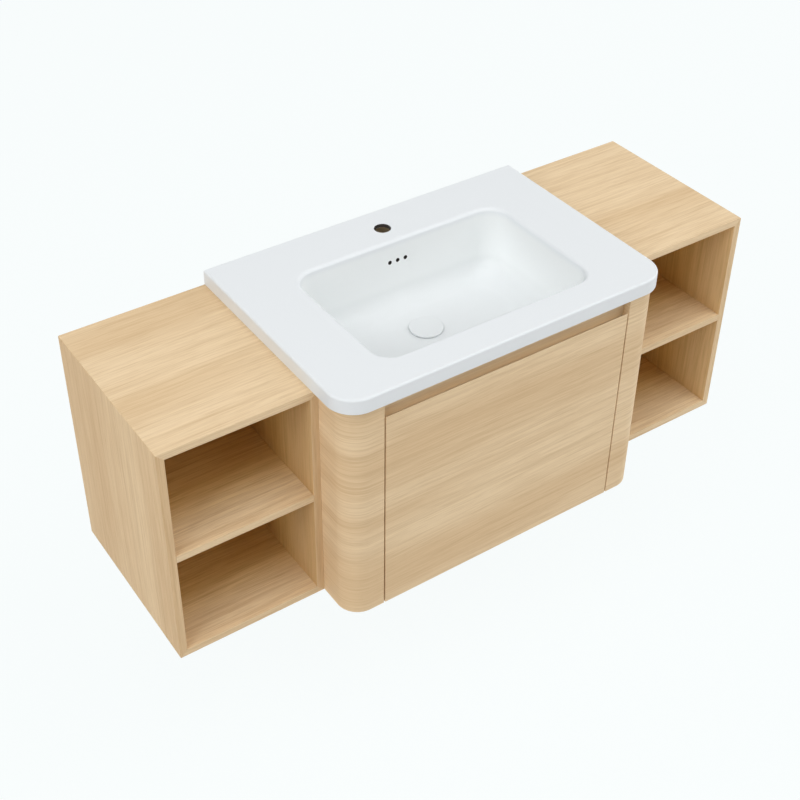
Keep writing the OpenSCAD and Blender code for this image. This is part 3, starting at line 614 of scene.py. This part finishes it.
fixing_head_r, fixing_head_h, fixing_shank_r = 0.005, 0.003, 0.0025
for side, sign in SIDES:
    node = f"{side}_box_screws"
    low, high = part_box(node)
    head_x = low.x if sign > 0 else high.x
    middle = (low + high) / 2
    seat_x = head_x + sign * fixing_head_h
    half_y = (high.y - low.y) / 2 - fixing_head_r
    half_z = (high.z - low.z) / 2 - fixing_head_r
    places = [Vector((seat_x, middle.y + y * half_y, middle.z + z * half_z))
              for y in (-1, 1) for z in (-1, 1)]
    screws = add_screws(places, (-sign, 0, 0), fixing_head_r, fixing_head_h, fixing_shank_r,
                        high.x - low.x - fixing_head_h)
    finish(join_up(f"{node}_turned", screws), "cabinet", "zinc_steel", zinc, node)

# ------------------------------------------------------------------------------------------------
# Drawer front
# Veneered board with level grain that runs on into the strips beside it. Its upper edge is bevelled back
# at 45 degrees, so that fingers reach behind it, and its other arrises are eased.
# ------------------------------------------------------------------------------------------------
low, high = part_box("drawer_front")
front = add_block("drawer_front_veneered", low, high)
choose(front, "verts", lambda point: point.co.z > high.z - arris and point.co.y > high.y - arris)
bpy.ops.transform.translate(value=(0, 0, -panel_t))
done()
ease(front, arris, steps=3)
finish(front, "drawer", "oak_veneer", oak["front"], "drawer_front", figure=front_figure)

# ------------------------------------------------------------------------------------------------
# Drawer box
# Lacquered birch plywood, with its layers showing on every edge. The bottom slides into grooves in the
# sides and the inner front, and is cut out at the back for the trap, with boards round the cut-out.
# ------------------------------------------------------------------------------------------------
birch_pale = (0.760, 0.620, 0.430, 1.0)
birch_warm = (0.690, 0.530, 0.345, 1.0)
birch_line = (0.600, 0.430, 0.260, 1.0)
ply_dark = (0.420, 0.270, 0.140, 1.0)
ply_t = 0.0014
layer_share = 0.75
birch_figure = 40.0


def plywood(way, thin):
    """Birch plywood with grain along one axis and its layers stacked along another."""
    material = wood(f"birch plywood, grain {way}, thin in {thin}", way, birch_pale, birch_warm, birch_line)
    tree = material.node_tree
    shader = tree.nodes["Principled BSDF"]
    face_colour = shader.inputs["Base Color"].links[0].from_socket
    coordinates = add_node(tree, "ShaderNodeTexCoord").outputs
    depth = add_node(tree, "ShaderNodeSeparateXYZ", {0: coordinates["Object"]}).outputs[thin.upper()]
    tilt = add_node(tree, "ShaderNodeSeparateXYZ", {0: coordinates["Normal"]}).outputs[thin.upper()]
    on_edge = ramp(tree, calculate(tree, "ABSOLUTE", tilt), 0.8, 0.5)
    layer = calculate(tree, "SINE", calculate(tree, "MULTIPLY", depth, pi / ply_t))
    layer = calculate(tree, "MULTIPLY", ramp(tree, layer, -0.3, 0.3), on_edge)
    layer = calculate(tree, "MULTIPLY", layer, layer_share)
    tree.links.new(blend_colours(tree, layer, face_colour, ply_dark), shader.inputs["Base Color"])
    return material


birch = {thin: plywood(way, thin) for way, thin in (("y", "x"), ("x", "y"), ("x", "z"))}
groove_play = 0.0001
bottom_low, bottom_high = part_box("drawer_bottom")
notch_half_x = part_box("notch_right_board")[0].x
notch_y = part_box("notch_front_board")[1].y

for number, (node, thin, grooved) in enumerate((
    ("drawer_left_side", "x", True), ("drawer_right_side", "x", True), ("drawer_inner_front", "y", True),
    ("drawer_left_back", "y", False), ("drawer_right_back", "y", False), ("notch_left_board", "x", False),
    ("notch_right_board", "x", False), ("notch_front_board", "y", False), ("drawer_bottom", "z", False),
)):
    board = add_block(f"{node}_board", *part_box(node))
    if node == "drawer_bottom":
        cut(board, add_block("notch", (-notch_half_x, notch_y, bottom_low.z - panel_t),
                             (notch_half_x, bottom_high.y + panel_t, bottom_high.z + panel_t)))
    ease(board, arris)
    if grooved:
        play = Vector((groove_play, groove_play, groove_play))
        run_out = Vector((0, panel_t, 0))
        cut(board, add_block("groove", bottom_low - play, bottom_high + play + run_out))
    finish(board, "drawer", "drawer_board", birch[thin], node, figure=birch_figure + number)

# ------------------------------------------------------------------------------------------------
# Screws and bumpers of the drawer front
# Four screws go through the inner front into the front from inside the drawer. Four round rubber pads
# on the back of the front meet the cabinet's edges softly.
# ------------------------------------------------------------------------------------------------
front_screw_r = 0.002
front_head_h = 0.0022
low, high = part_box("drawer_front_screws")
seat_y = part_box("drawer_inner_front")[1].y
places = [Vector((x, seat_y, z)) for x in (low.x + 2 * front_screw_r, high.x - 2 * front_screw_r)
          for z in (low.z + 2 * front_screw_r, high.z - 2 * front_screw_r)]
screws = add_screws(places, (0, 1, 0), 2 * front_screw_r, front_head_h, front_screw_r, seat_y - low.y)
finish(join_up("drawer_front_screws_turned", screws), "drawer", "zinc_steel", zinc, "drawer_front_screws")

rubber = marked_surface("black rubber", (0.022, 0.022, 0.024, 1.0), 0.0, 0.60, 0.85, 700.0, 700.0,
                        0.3, 0.0002)
bumper_r = 0.004
low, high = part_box("drawer_bumpers")
pads = []
for x in (low.x + bumper_r, high.x - bumper_r):
    for z in (low.z + bumper_r, high.z - bumper_r):
        pad = add_round("pad", (x, low.y, z), (x, high.y, z), bumper_r, 32)
        choose(pad, "edges", lambda edge: all(point.co.y > high.y - groove_play for point in edge.verts))
        bpy.ops.mesh.bevel(offset=(high.y - low.y) * 0.7, segments=4, affect="EDGES")
        done()
        pads.append(pad)
finish(join_up("drawer_bumpers_moulded", pads), "drawer", "rubber", rubber, "drawer_bumpers")

# ------------------------------------------------------------------------------------------------
# Drawer slides
# Full-extension ball slides of zinc-plated steel strip, rolled into channels that run in each other: one
# on the housing, one on the drawer and one between them, with two rows of steel balls in each pair.
# ------------------------------------------------------------------------------------------------
steel_t = 0.0012
slide_head_r, slide_head_h, slide_shank_r = 0.0035, 0.001, 0.00175
slide_bite = 0.009
screw_end = 0.035


def add_channel(node, body, web_side):
    """A channel whose web is on the side given, +1 for the higher X and -1 for the lower."""
    low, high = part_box(node)
    web_x = high.x if web_side > 0 else low.x
    back_x = web_x - web_side * steel_t
    channel = add_block(f"{node}_rolled", (min(web_x, back_x), low.y, low.z),
                        (max(web_x, back_x), high.y, high.z))
    bpy.ops.object.mode_set(mode="EDIT")
    for z in (low.z + steel_t, high.z - steel_t):
        bpy.ops.mesh.select_all(action="SELECT")
        bpy.ops.mesh.bisect(plane_co=(web_x, low.y, z), plane_no=(0, 0, 1))
    done()
    choose(channel, "faces", lambda face: -web_side * face.normal.x > 0.9
           and not low.z + steel_t < face.calc_center_median().z < high.z - steel_t)
    reach = high.x - low.x - steel_t
    bpy.ops.mesh.extrude_region_move(TRANSFORM_OT_translate={"value": (-web_side * reach, 0, 0)})
    done()
    ease(channel, steel_t * 0.3)
    finish(channel, body, "zinc_steel", zinc, node)


chrome = marked_surface("polished chrome", (0.80, 0.81, 0.83, 1.0), 1.0, 0.05, 0.12, 60.0, 60.0, 0.05, 0.0001)
for side, sign in SIDES:
    add_channel(f"{side}_slide_cabinet_member", "cabinet", sign)
    add_channel(f"{side}_slide_middle_member", "slide_middles", sign)
    add_channel(f"{side}_slide_drawer_member", "drawer", -sign)
    balls = frame["nodes"][f"{side}_slide_balls"]
    balls.data.materials.clear()
    balls.data.materials.append(chrome)

for node, body, seat_x, facing in (
    ("housing_slide_screws", "cabinet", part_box("right_slide_cabinet_member")[1].x - steel_t, -1),
    ("drawer_slide_screws", "drawer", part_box("right_slide_drawer_member")[0].x + steel_t, 1),
):
    low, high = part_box("right_slide_cabinet_member")
    middle = (low + high) / 2
    rows = (low.y + screw_end, middle.y, high.y - screw_end)
    screws = []
    for sign in (-1, 1):
        places = [Vector((sign * seat_x, y, middle.z)) for y in rows]
        screws += add_screws(places, (sign * facing, 0, 0), slide_head_r, slide_head_h, slide_shank_r,
                             slide_bite + steel_t)
    finish(join_up(f"{node}_turned", screws), body, "zinc_steel", zinc, node)

# ------------------------------------------------------------------------------------------------
# Basin
# One casting of white glazed ceramic: a deck that laps over the cabinet and the side boxes, a deep bowl
# with a soft rim and steep walls, a hollow underside with ribs, and the overflow channel behind the bowl.
# ------------------------------------------------------------------------------------------------
ceramic_t = 0.009
deck_corner_r = 0.057
deck_edge_r = 0.0045
bowl_half_x = 0.247
bowl_back_y, bowl_front_y = -0.117, -0.438
bowl_corner_r = 0.046
lip_side, lip_back, lip_front, lip_h = 0.007, 0.009, 0.005, 0.007
wall_lean = 0.008
floor_r = 0.042
floor_rise = 0.005
bowl_depth = 0.1565
drain_y = -0.225
drain_flat_r = 0.0375
faucet_y, faucet_r, faucet_round = -0.064, 0.0175, 0.0014
overflow_r, overflow_pitch, overflow_drop = 0.0045, 0.019, 0.0475
channel_half_x, channel_wall = 0.026, 0.008
channel_back_y, channel_front_y = -0.097, -0.106
channel_low_z, channel_roof_z = 0.106, 0.118
rib_t = 0.014
boss_r, drain_hole_r, recess_r = 0.0355, 0.0225, 0.0325

basin_low, basin_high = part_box("basin")
deck_z = basin_high.z
cabinet_top_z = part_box("left_side_panel")[1].z
cabinet_half_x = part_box("right_side_panel")[1].x
bowl_floor_z = deck_z - bowl_depth
floor_edge_z = bowl_floor_z + floor_rise
bowl_middle_y = (bowl_back_y + bowl_front_y) / 2
tiny = 0.00002


def bowl_ring(z, lean, side=0.0, back=0.0, front=0.0):
    """One level of the bowl: its height, half width, and back and front, drawn in all round by lean."""
    return (z, bowl_half_x - lean + side, bowl_back_y - lean + back, bowl_front_y + lean - front)


def round_ring(grow, steps):
    """The levels of the round between wall and floor, for a bowl that is larger by grow."""
    rings = []
    for step in range(steps + 1):
        angle = pi / 2 * step / steps
        rings.append(bowl_ring(floor_edge_z - grow + (floor_r + grow) * (1 - sin(angle)),
                               wall_lean - grow + (floor_r + grow) * (1 - cos(angle))))
    return rings


def add_bowl(name, rings, flat_r, top_z):
    """A bowl as a closed shape: rings from the rim down, a sloping floor, and a level round at the drain."""
    z, half_x, back_y, front_y = rings[0]
    bpy.ops.object.select_all(action="DESELECT")
    bpy.ops.mesh.primitive_plane_add(size=1, location=(0, (back_y + front_y) / 2, z))
    bpy.context.object.scale = (2 * half_x, back_y - front_y, 1)
    bpy.ops.object.transform_apply()
    bowl = bpy.context.object
    bowl.name = name
    bpy.ops.object.mode_set(mode="EDIT")
    bpy.ops.mesh.select_all(action="SELECT")
    bpy.ops.mesh.bevel(offset=bowl_corner_r, segments=16, affect="VERTICES")
    bpy.ops.mesh.delete(type="ONLY_FACE")
    done()
    for (z, half_x, back_y, front_y), lower in zip(rings, rings[1:]):
        choose(bowl, "edges", lambda edge: all(abs(point.co.z - z) < tiny for point in edge.verts))
        bpy.ops.mesh.extrude_edges_move(TRANSFORM_OT_translate={"value": (0, 0, lower[0] - z)})
        done()
        for x_sign in (-1, 1):
            for is_back, shift_y in ((True, lower[2] - back_y), (False, lower[3] - front_y)):
                choose(bowl, "verts", lambda point: abs(point.co.z - lower[0]) < tiny
                       and point.co.x * x_sign > 0 and (point.co.y > bowl_middle_y) == is_back)
                bpy.ops.transform.translate(value=(x_sign * (lower[1] - half_x), shift_y, 0))
                done()
    choose(bowl, "edges", lambda edge: abs(edge.verts[0].co.z - edge.verts[1].co.z) < tiny
           and edge.calc_length() > bowl_corner_r)
    bpy.ops.mesh.subdivide(number_cuts=10)
    done()

    last_z = rings[-1][0]
    drop = floor_rise
    choose(bowl, "edges", lambda edge: all(abs(point.co.z - last_z) < tiny for point in edge.verts))
    bpy.ops.mesh.extrude_edges_move(TRANSFORM_OT_translate={"value": (0, 0, -drop)})
    bpy.ops.transform.tosphere(value=1.0)
    drawn = [point.co.copy() for point in bmesh.from_edit_mesh(bowl.data).verts if point.select]
    centre = sum(drawn, Vector()) / len(drawn)
    share = flat_r / max((point - centre).length for point in drawn)
    bpy.ops.transform.resize(value=(share, share, 1), center_override=centre)
    bpy.ops.transform.translate(value=(0, drain_y - centre.y, 0))
    bpy.ops.mesh.edge_face_add()
    done()
    first_z = rings[0][0]
    choose(bowl, "edges", lambda edge: all(abs(point.co.z - first_z) < tiny for point in edge.verts))
    bpy.ops.mesh.extrude_edges_move(TRANSFORM_OT_translate={"value": (0, 0, top_z - first_z)})
    bpy.ops.mesh.edge_face_add()
    bpy.ops.mesh.select_all(action="SELECT")
    bpy.ops.mesh.normals_make_consistent(inside=False)
    done()
    return bowl


basin = add_block("basin_glazed", (basin_low.x, basin_low.y, cabinet_top_z), basin_high)
choose(basin, "edges", lambda edge: all(point.co.y < basin_low.y + tiny for point in edge.verts)
       and abs(edge.verts[0].co.z - edge.verts[1].co.z) > tiny)
bpy.ops.mesh.bevel(offset=deck_corner_r, segments=32, affect="EDGES")
done()
choose(basin, "edges", lambda edge: all(point.co.z > deck_z - tiny for point in edge.verts)
       and any(point.co.y < -tiny for point in edge.verts))
bpy.ops.mesh.bevel(offset=deck_edge_r, segments=6, affect="EDGES")
done()
ease(basin, 2 * arris, steps=3)

pocket_half_x = cabinet_half_x - panel_t
pocket_front_y = basin_low.y + 0.0405
pocket = add_block("pocket", (-pocket_half_x, pocket_front_y, cabinet_top_z - panel_t),
                   (pocket_half_x, -panel_t, deck_z - ceramic_t))
ease(pocket, 0.004, steps=3)
cut(basin, pocket)

under_z = deck_z - ceramic_t / 2
outer_rings = [bowl_ring(deck_z - ceramic_t, -ceramic_t)] + round_ring(ceramic_t, 10)
cut(basin, add_bowl("outer_bowl", outer_rings, drain_flat_r + ceramic_t / 2, under_z), "UNION")
for sign in (-1, 1):
    ends = sorted((sign * bowl_half_x, sign * (pocket_half_x + arris)))
    cut(basin, add_block("rib", (ends[0], bowl_middle_y - rib_t / 2, cabinet_top_z),
                         (ends[1], bowl_middle_y + rib_t / 2, under_z)), "UNION")
duct_half_x = channel_half_x + channel_wall
duct_back_y = channel_back_y + channel_wall
boss_z = channel_low_z - channel_wall


def add_elbow(name, half_x, bend_y, back_y, low_z, roof_z, top_z):
    """A flat duct from the drain to the back of the bowl, where it turns up."""
    elbow = add_block(name, (-half_x, drain_y, low_z), (half_x, back_y, roof_z))
    choose(elbow, "faces", lambda face: True)
    bpy.ops.mesh.bisect(plane_co=(0, bend_y, low_z), plane_no=(0, 1, 0))
    done()
    choose(elbow, "faces", lambda face: face.normal.z > 0.9 and face.calc_center_median().y > bend_y)
    bpy.ops.mesh.extrude_region_move(TRANSFORM_OT_translate={"value": (0, 0, top_z - roof_z)})
    done()
    return elbow


cut(basin, add_elbow("duct", duct_half_x, bowl_back_y - floor_r / 2, duct_back_y, boss_z,
                     channel_roof_z + channel_wall, under_z), "UNION")
boss_top_z = bowl_floor_z - ceramic_t / 2
cut(basin, add_round("boss", (0, drain_y, boss_z), (0, drain_y, boss_top_z), boss_r, 96), "UNION")

lip_rings = []
for angle in (90, 72, 54, 36, 18, 0):
    out = 1 - cos(radians(angle))
    lip_rings.append(bowl_ring(deck_z - lip_h * (1 - sin(radians(angle))), 0,
                               lip_side * out, lip_back * out, lip_front * out))
wall_top_z = deck_z - lip_h
wall_foot_z = floor_edge_z + floor_r
wall_steps = 6
wall_rings = []
for step in range(1, wall_steps):
    share = step / wall_steps
    wall_rings.append(bowl_ring(wall_top_z + share * (wall_foot_z - wall_top_z), share * wall_lean))
rings = lip_rings + wall_rings + round_ring(0, 14)
cut(basin, add_bowl("inner_bowl", rings, drain_flat_r, deck_z + panel_t))
apply_modifier(basin, "TRIANGULATE", min_vertices=5)

recess_h = 0.0045
cut(basin, add_round("recess", (0, drain_y, bowl_floor_z - recess_h), (0, drain_y, bowl_floor_z + panel_t),
                     recess_r, 96))
cut(basin, add_round("drain_hole", (0, drain_y, boss_z - panel_t), (0, drain_y, bowl_floor_z),
                     drain_hole_r, 96))

faucet_tool = add_round("faucet_hole", (0, faucet_y, cabinet_top_z - panel_t),
                        (0, faucet_y, deck_z - faucet_round), faucet_r, 96)
choose(faucet_tool, "faces", lambda face: face.normal.z > 0.9)
radius = faucet_r
rim_steps = 5
for step in range(1, rim_steps + 1):
    angle = pi / 2 * step / rim_steps
    wider = faucet_r + faucet_round * (1 - cos(angle))
    rise = faucet_round * (sin(angle) - sin(angle - pi / 2 / rim_steps))
    bpy.ops.mesh.extrude_region_move(TRANSFORM_OT_translate={"value": (0, 0, rise)})
    bpy.ops.transform.resize(value=(wider / radius, wider / radius, 1))
    radius = wider
bpy.ops.mesh.extrude_region_move(TRANSFORM_OT_translate={"value": (0, 0, panel_t)})
done()
cut(basin, faucet_tool)

overflow_z = deck_z - overflow_drop
channel_top_z = overflow_z + overflow_r + 0.004
for place in (-1, 0, 1):
    x = place * overflow_pitch
    cut(basin, add_round("overflow", (x, bowl_back_y - 2 * wall_lean, overflow_z),
                         (x, channel_front_y + tiny, overflow_z), overflow_r, 32))
cut(basin, add_elbow("channel", channel_half_x, channel_front_y, channel_back_y, channel_low_z,
                     channel_roof_z, channel_top_z))
# The cuts leave one triangle of the duct open, 3.5 mm long and under the bowl. It is closed here.
choose(basin, "edges", lambda edge: edge.is_boundary)
bpy.ops.mesh.edge_face_add()
done()

# In the bowl the glaze's colour is painted: lighter on the walls, which is painted light, and darker on the
# floor, which is painted shade. The deck keeps the glaze's own colour.
glaze_deck = (0.838, 0.868, 0.887, 1.0)
glaze_wall_painted_light = (0.912, 0.936, 0.935, 1.0)
glaze_floor_painted_shade = (0.775, 0.800, 0.808, 1.0)
glaze = marked_surface("white glazed ceramic", glaze_deck, 0.0, 0.30, 0.40, 6.0, 6.0, 0.02, 0.001)
tree = glaze.node_tree
shader = tree.nodes["Principled BSDF"]
shader.inputs["Specular IOR Level"].default_value = 0.12
place = add_node(tree, "ShaderNodeTexCoord").outputs["Object"]
axes = add_node(tree, "ShaderNodeSeparateXYZ", {0: place}).outputs
painted_bowl_mask = ramp(tree, axes["Z"], deck_z, deck_z - 3 * lip_h)
for axis, middle, reach in (("X", 0.0, bowl_half_x + lip_side),
                            ("Y", bowl_middle_y, (bowl_back_y - bowl_front_y) / 2 + lip_back)):
    away = calculate(tree, "ABSOLUTE", calculate(tree, "SUBTRACT", axes[axis], middle))
    painted_bowl_mask = calculate(tree, "MULTIPLY", painted_bowl_mask, calculate(tree, "LESS_THAN", away, reach))
painted_wall_share = ramp(tree, axes["Z"], floor_edge_z, floor_edge_z + floor_r * 1.4)
colour = blend_colours(tree, painted_wall_share, glaze_floor_painted_shade, glaze_wall_painted_light)
colour = blend_colours(tree, painted_bowl_mask, glaze_deck, colour)
tree.links.new(colour, shader.inputs["Base Color"])
# The bores, the duct and the overflow holes are bare ceramic, coloured near-black: painted shade.
painted_shade = marked_surface("bare ceramic of the bores", (0.045, 0.036, 0.030, 1.0), 0.0, 0.75, 0.95,
                      90.0, 90.0, 0.1, 0.0005)
finish(basin, "cabinet", "ceramic", glaze, "basin")
basin.data.materials.append(painted_shade)
for face in basin.data.polygons:
    x, y, z = face.center
    in_faucet_bore = (x ** 2 + (y - faucet_y) ** 2) ** 0.5 < faucet_r + tiny and z < deck_z - faucet_round
    in_duct = abs(x) < channel_half_x + tiny and channel_front_y - tiny < y < channel_back_y + tiny
    in_overflow = abs(z - overflow_z) < overflow_r and y > bowl_back_y and any(
        abs(x - place * overflow_pitch) < overflow_r for place in (-1, 0, 1))
    if in_faucet_bore or (in_duct or in_overflow) and channel_low_z - tiny < z < overflow_z + 2 * overflow_r:
        face.material_index = 1

# ------------------------------------------------------------------------------------------------
# Drain
# Chromed brass: a flanged body with a spider that guides the stem, a lock nut under the basin and a
# tailpiece for the trap, sealed above and below by rubber rings.
# ------------------------------------------------------------------------------------------------
for node, material in (("drain_body", chrome), ("popup_stem", chrome), ("drain_gasket", rubber),
                       ("drain_seal", rubber), ("popup_seal", rubber)):
    ring = frame["nodes"][node]
    ring.data.materials.clear()
    ring.data.materials.append(material)

low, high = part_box("drain_locknut")
body_r = 0.02105
bpy.ops.object.select_all(action="DESELECT")
bpy.ops.mesh.primitive_cylinder_add(vertices=6, radius=high.x, depth=high.z - low.z,
                                    location=(low + high) / 2, rotation=(0, 0, radians(30)))
bpy.ops.object.transform_apply()
nut = bpy.context.object
nut.name = "drain_locknut_chromed"
ease(nut, 0.0015, steps=3)
cut(nut, add_round("bore", (0, drain_y, low.z - panel_t), (0, drain_y, high.z + panel_t), body_r, 64))
finish(nut, "cabinet", "chrome", chrome, "drain_locknut")

low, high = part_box("tailpiece")
tube_r, tube_wall, collar_h = 0.0159, 0.0013, 0.018
tailpiece = add_round("tailpiece_chromed", (0, drain_y, low.z), (0, drain_y, high.z), tube_r, 64)
collar = add_round("collar", (0, drain_y, high.z - collar_h), (0, drain_y, high.z), high.x, 64)
ease(collar, arris)
cut(tailpiece, collar, "UNION")
cut(tailpiece, add_round("bore", (0, drain_y, low.z - panel_t), (0, drain_y, high.z + panel_t),
                         tube_r - tube_wall, 64))
ease(tailpiece, tube_wall * 0.3)
finish(tailpiece, "cabinet", "chrome", chrome, "tailpiece")

# ------------------------------------------------------------------------------------------------
# Pop-up cap
# A slightly crowned ceramic disc with a rounded edge, glazed like the basin, on a short boss that takes
# the stem. It rises with the stem and the rubber seal.
# ------------------------------------------------------------------------------------------------
cap_t, cap_crown, cap_edge_r, cap_boss_r = 0.005, 0.001, 0.0014, 0.008
low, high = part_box("popup_cap")
cap_r = high.x
cap = add_round("popup_cap_glazed", (0, drain_y, high.z - cap_t), (0, drain_y, high.z - cap_crown), cap_r, 96)
choose(cap, "edges", lambda edge: edge.is_convex and edge.calc_face_angle(0.0) > radians(40))
bpy.ops.mesh.bevel(offset=cap_edge_r, segments=5, affect="EDGES")
done()
choose(cap, "faces", lambda face: face.normal.z > 0.99)
radius = cap_r - cap_edge_r
rings = 6
step_in = radius / (rings + 1)
for ring in range(1, rings + 1):
    outer_share = 1 - (ring - 1) * step_in / radius
    inner_share = 1 - ring * step_in / radius
    rise = cap_crown * (outer_share ** 2 - inner_share ** 2)
    bpy.ops.mesh.inset(thickness=step_in)
    bpy.ops.transform.translate(value=(0, 0, rise))
done()
cut(cap, add_round("boss", (0, drain_y, low.z), (0, drain_y, high.z - cap_t / 2), cap_boss_r, 48), "UNION")
finish(cap, "popup", "ceramic", glaze, "popup_cap")

# ------------------------------------------------------------------------------------------------
# Dowels
# Plain beech dowels between the shelves and the boxes' sides, hidden once the boxes are glued.
# ------------------------------------------------------------------------------------------------
for side, sign in SIDES:
    dowels = frame["nodes"][f"{side}_box_dowels"]
    dowels.data.materials.clear()
    dowels.data.materials.append(birch["x"])

# ------------------------------------------------------------------------------------------------
# Floor, light and camera
# A pale floor far below the hung vanity, four wide soft lamps and a faint white dome of light.
# The camera stands high at the front left, as the photograph's did.
# ------------------------------------------------------------------------------------------------
floor_z = -0.62
bpy.ops.object.select_all(action="DESELECT")
bpy.ops.mesh.primitive_plane_add(size=24, location=(0, 0, floor_z))
bpy.ops.object.transform_apply()
floor = bpy.context.object
floor.name = "studio_floor"
floor_paint, shader = new_material("pale studio floor")
shader.inputs["Base Color"].default_value = (0.80, 0.81, 0.81, 1.0)
shader.inputs["Roughness"].default_value = 0.9
tree = floor_paint.node_tree
paper = add_node(tree, "ShaderNodeEmission", {"Color": (0.962, 1.0, 1.0, 1.0), "Strength": 1.0})
paper_share = 0.94


def is_seen(tree):
    """1 for what the camera, a reflection or a clear piece looks at, and 0 for light that falls."""
    rays = add_node(tree, "ShaderNodeLightPath").outputs
    seen = calculate(tree, "MAXIMUM", rays["Is Camera Ray"], rays["Is Glossy Ray"])
    return calculate(tree, "MAXIMUM", seen, rays["Is Transmission Ray"])


values = {0: calculate(tree, "MULTIPLY", is_seen(tree), paper_share), 1: shader.outputs[0],
          2: paper.outputs[0]}
mixed = add_node(tree, "ShaderNodeMixShader", values)
tree.links.new(mixed.outputs[0], tree.nodes["Material Output"].inputs["Surface"])
floor.data.materials.append(floor_paint)

world = bpy.data.worlds.new("studio")
bpy.context.scene.world = world
world.use_nodes = True
tree = world.node_tree
tree.nodes.clear()
dome = add_node(tree, "ShaderNodeBackground", {"Color": (1.0, 1.0, 1.0, 1.0), "Strength": 0.178})
backdrop = add_node(tree, "ShaderNodeBackground", {"Color": (0.955, 0.993, 1.0, 1.0), "Strength": 1.0})
values = {0: is_seen(tree), 1: dome.outputs[0], 2: backdrop.outputs[0]}
mixed = add_node(tree, "ShaderNodeMixShader", values)
add_node(tree, "ShaderNodeOutputWorld", {"Surface": mixed.outputs[0]})

lamp_distance, lamp_size = 9.0, 6.75
for name, heading, height, power in (
    ("high softbox", -90, 75, 282.0), ("left softbox", -165, 36, 402.0),
    ("right front softbox", -50, 40, 210.0), ("low right softbox", -8, 15, 252.0),
):
    lamp_data = bpy.data.lights.new(name, "AREA")
    lamp_data.size, lamp_data.energy = lamp_size, power
    lamp = bpy.data.objects.new(name, lamp_data)
    lamp.matrix_world = (Matrix.Rotation(radians(heading), 4, "Z")
                         @ Matrix.Rotation(radians(90 - height), 4, "Y")
                         @ Matrix.Translation((0, 0, lamp_distance)))
    bpy.context.scene.collection.objects.link(lamp)

camera_place = (-1.3231, -2.0366, 1.77196)
camera_heading, camera_dip, camera_roll = -34.003, 36.702, 0.249
camera_data = bpy.data.cameras.new("camera")
camera_data.lens = 61.5
camera_data.sensor_width = 36.0
camera_data.shift_x, camera_data.shift_y = 0.01875, -0.075
camera = bpy.data.objects.new("camera", camera_data)
camera.matrix_world = (Matrix.Translation(camera_place)
                       @ Matrix.Rotation(radians(camera_heading), 4, "Z")
                       @ Matrix.Rotation(radians(90 - camera_dip), 4, "X")
                       @ Matrix.Rotation(radians(camera_roll), 4, "Z"))
bpy.context.scene.collection.objects.link(camera)
bpy.context.scene.camera = camera
bpy.context.scene.view_settings.view_transform = "Standard"
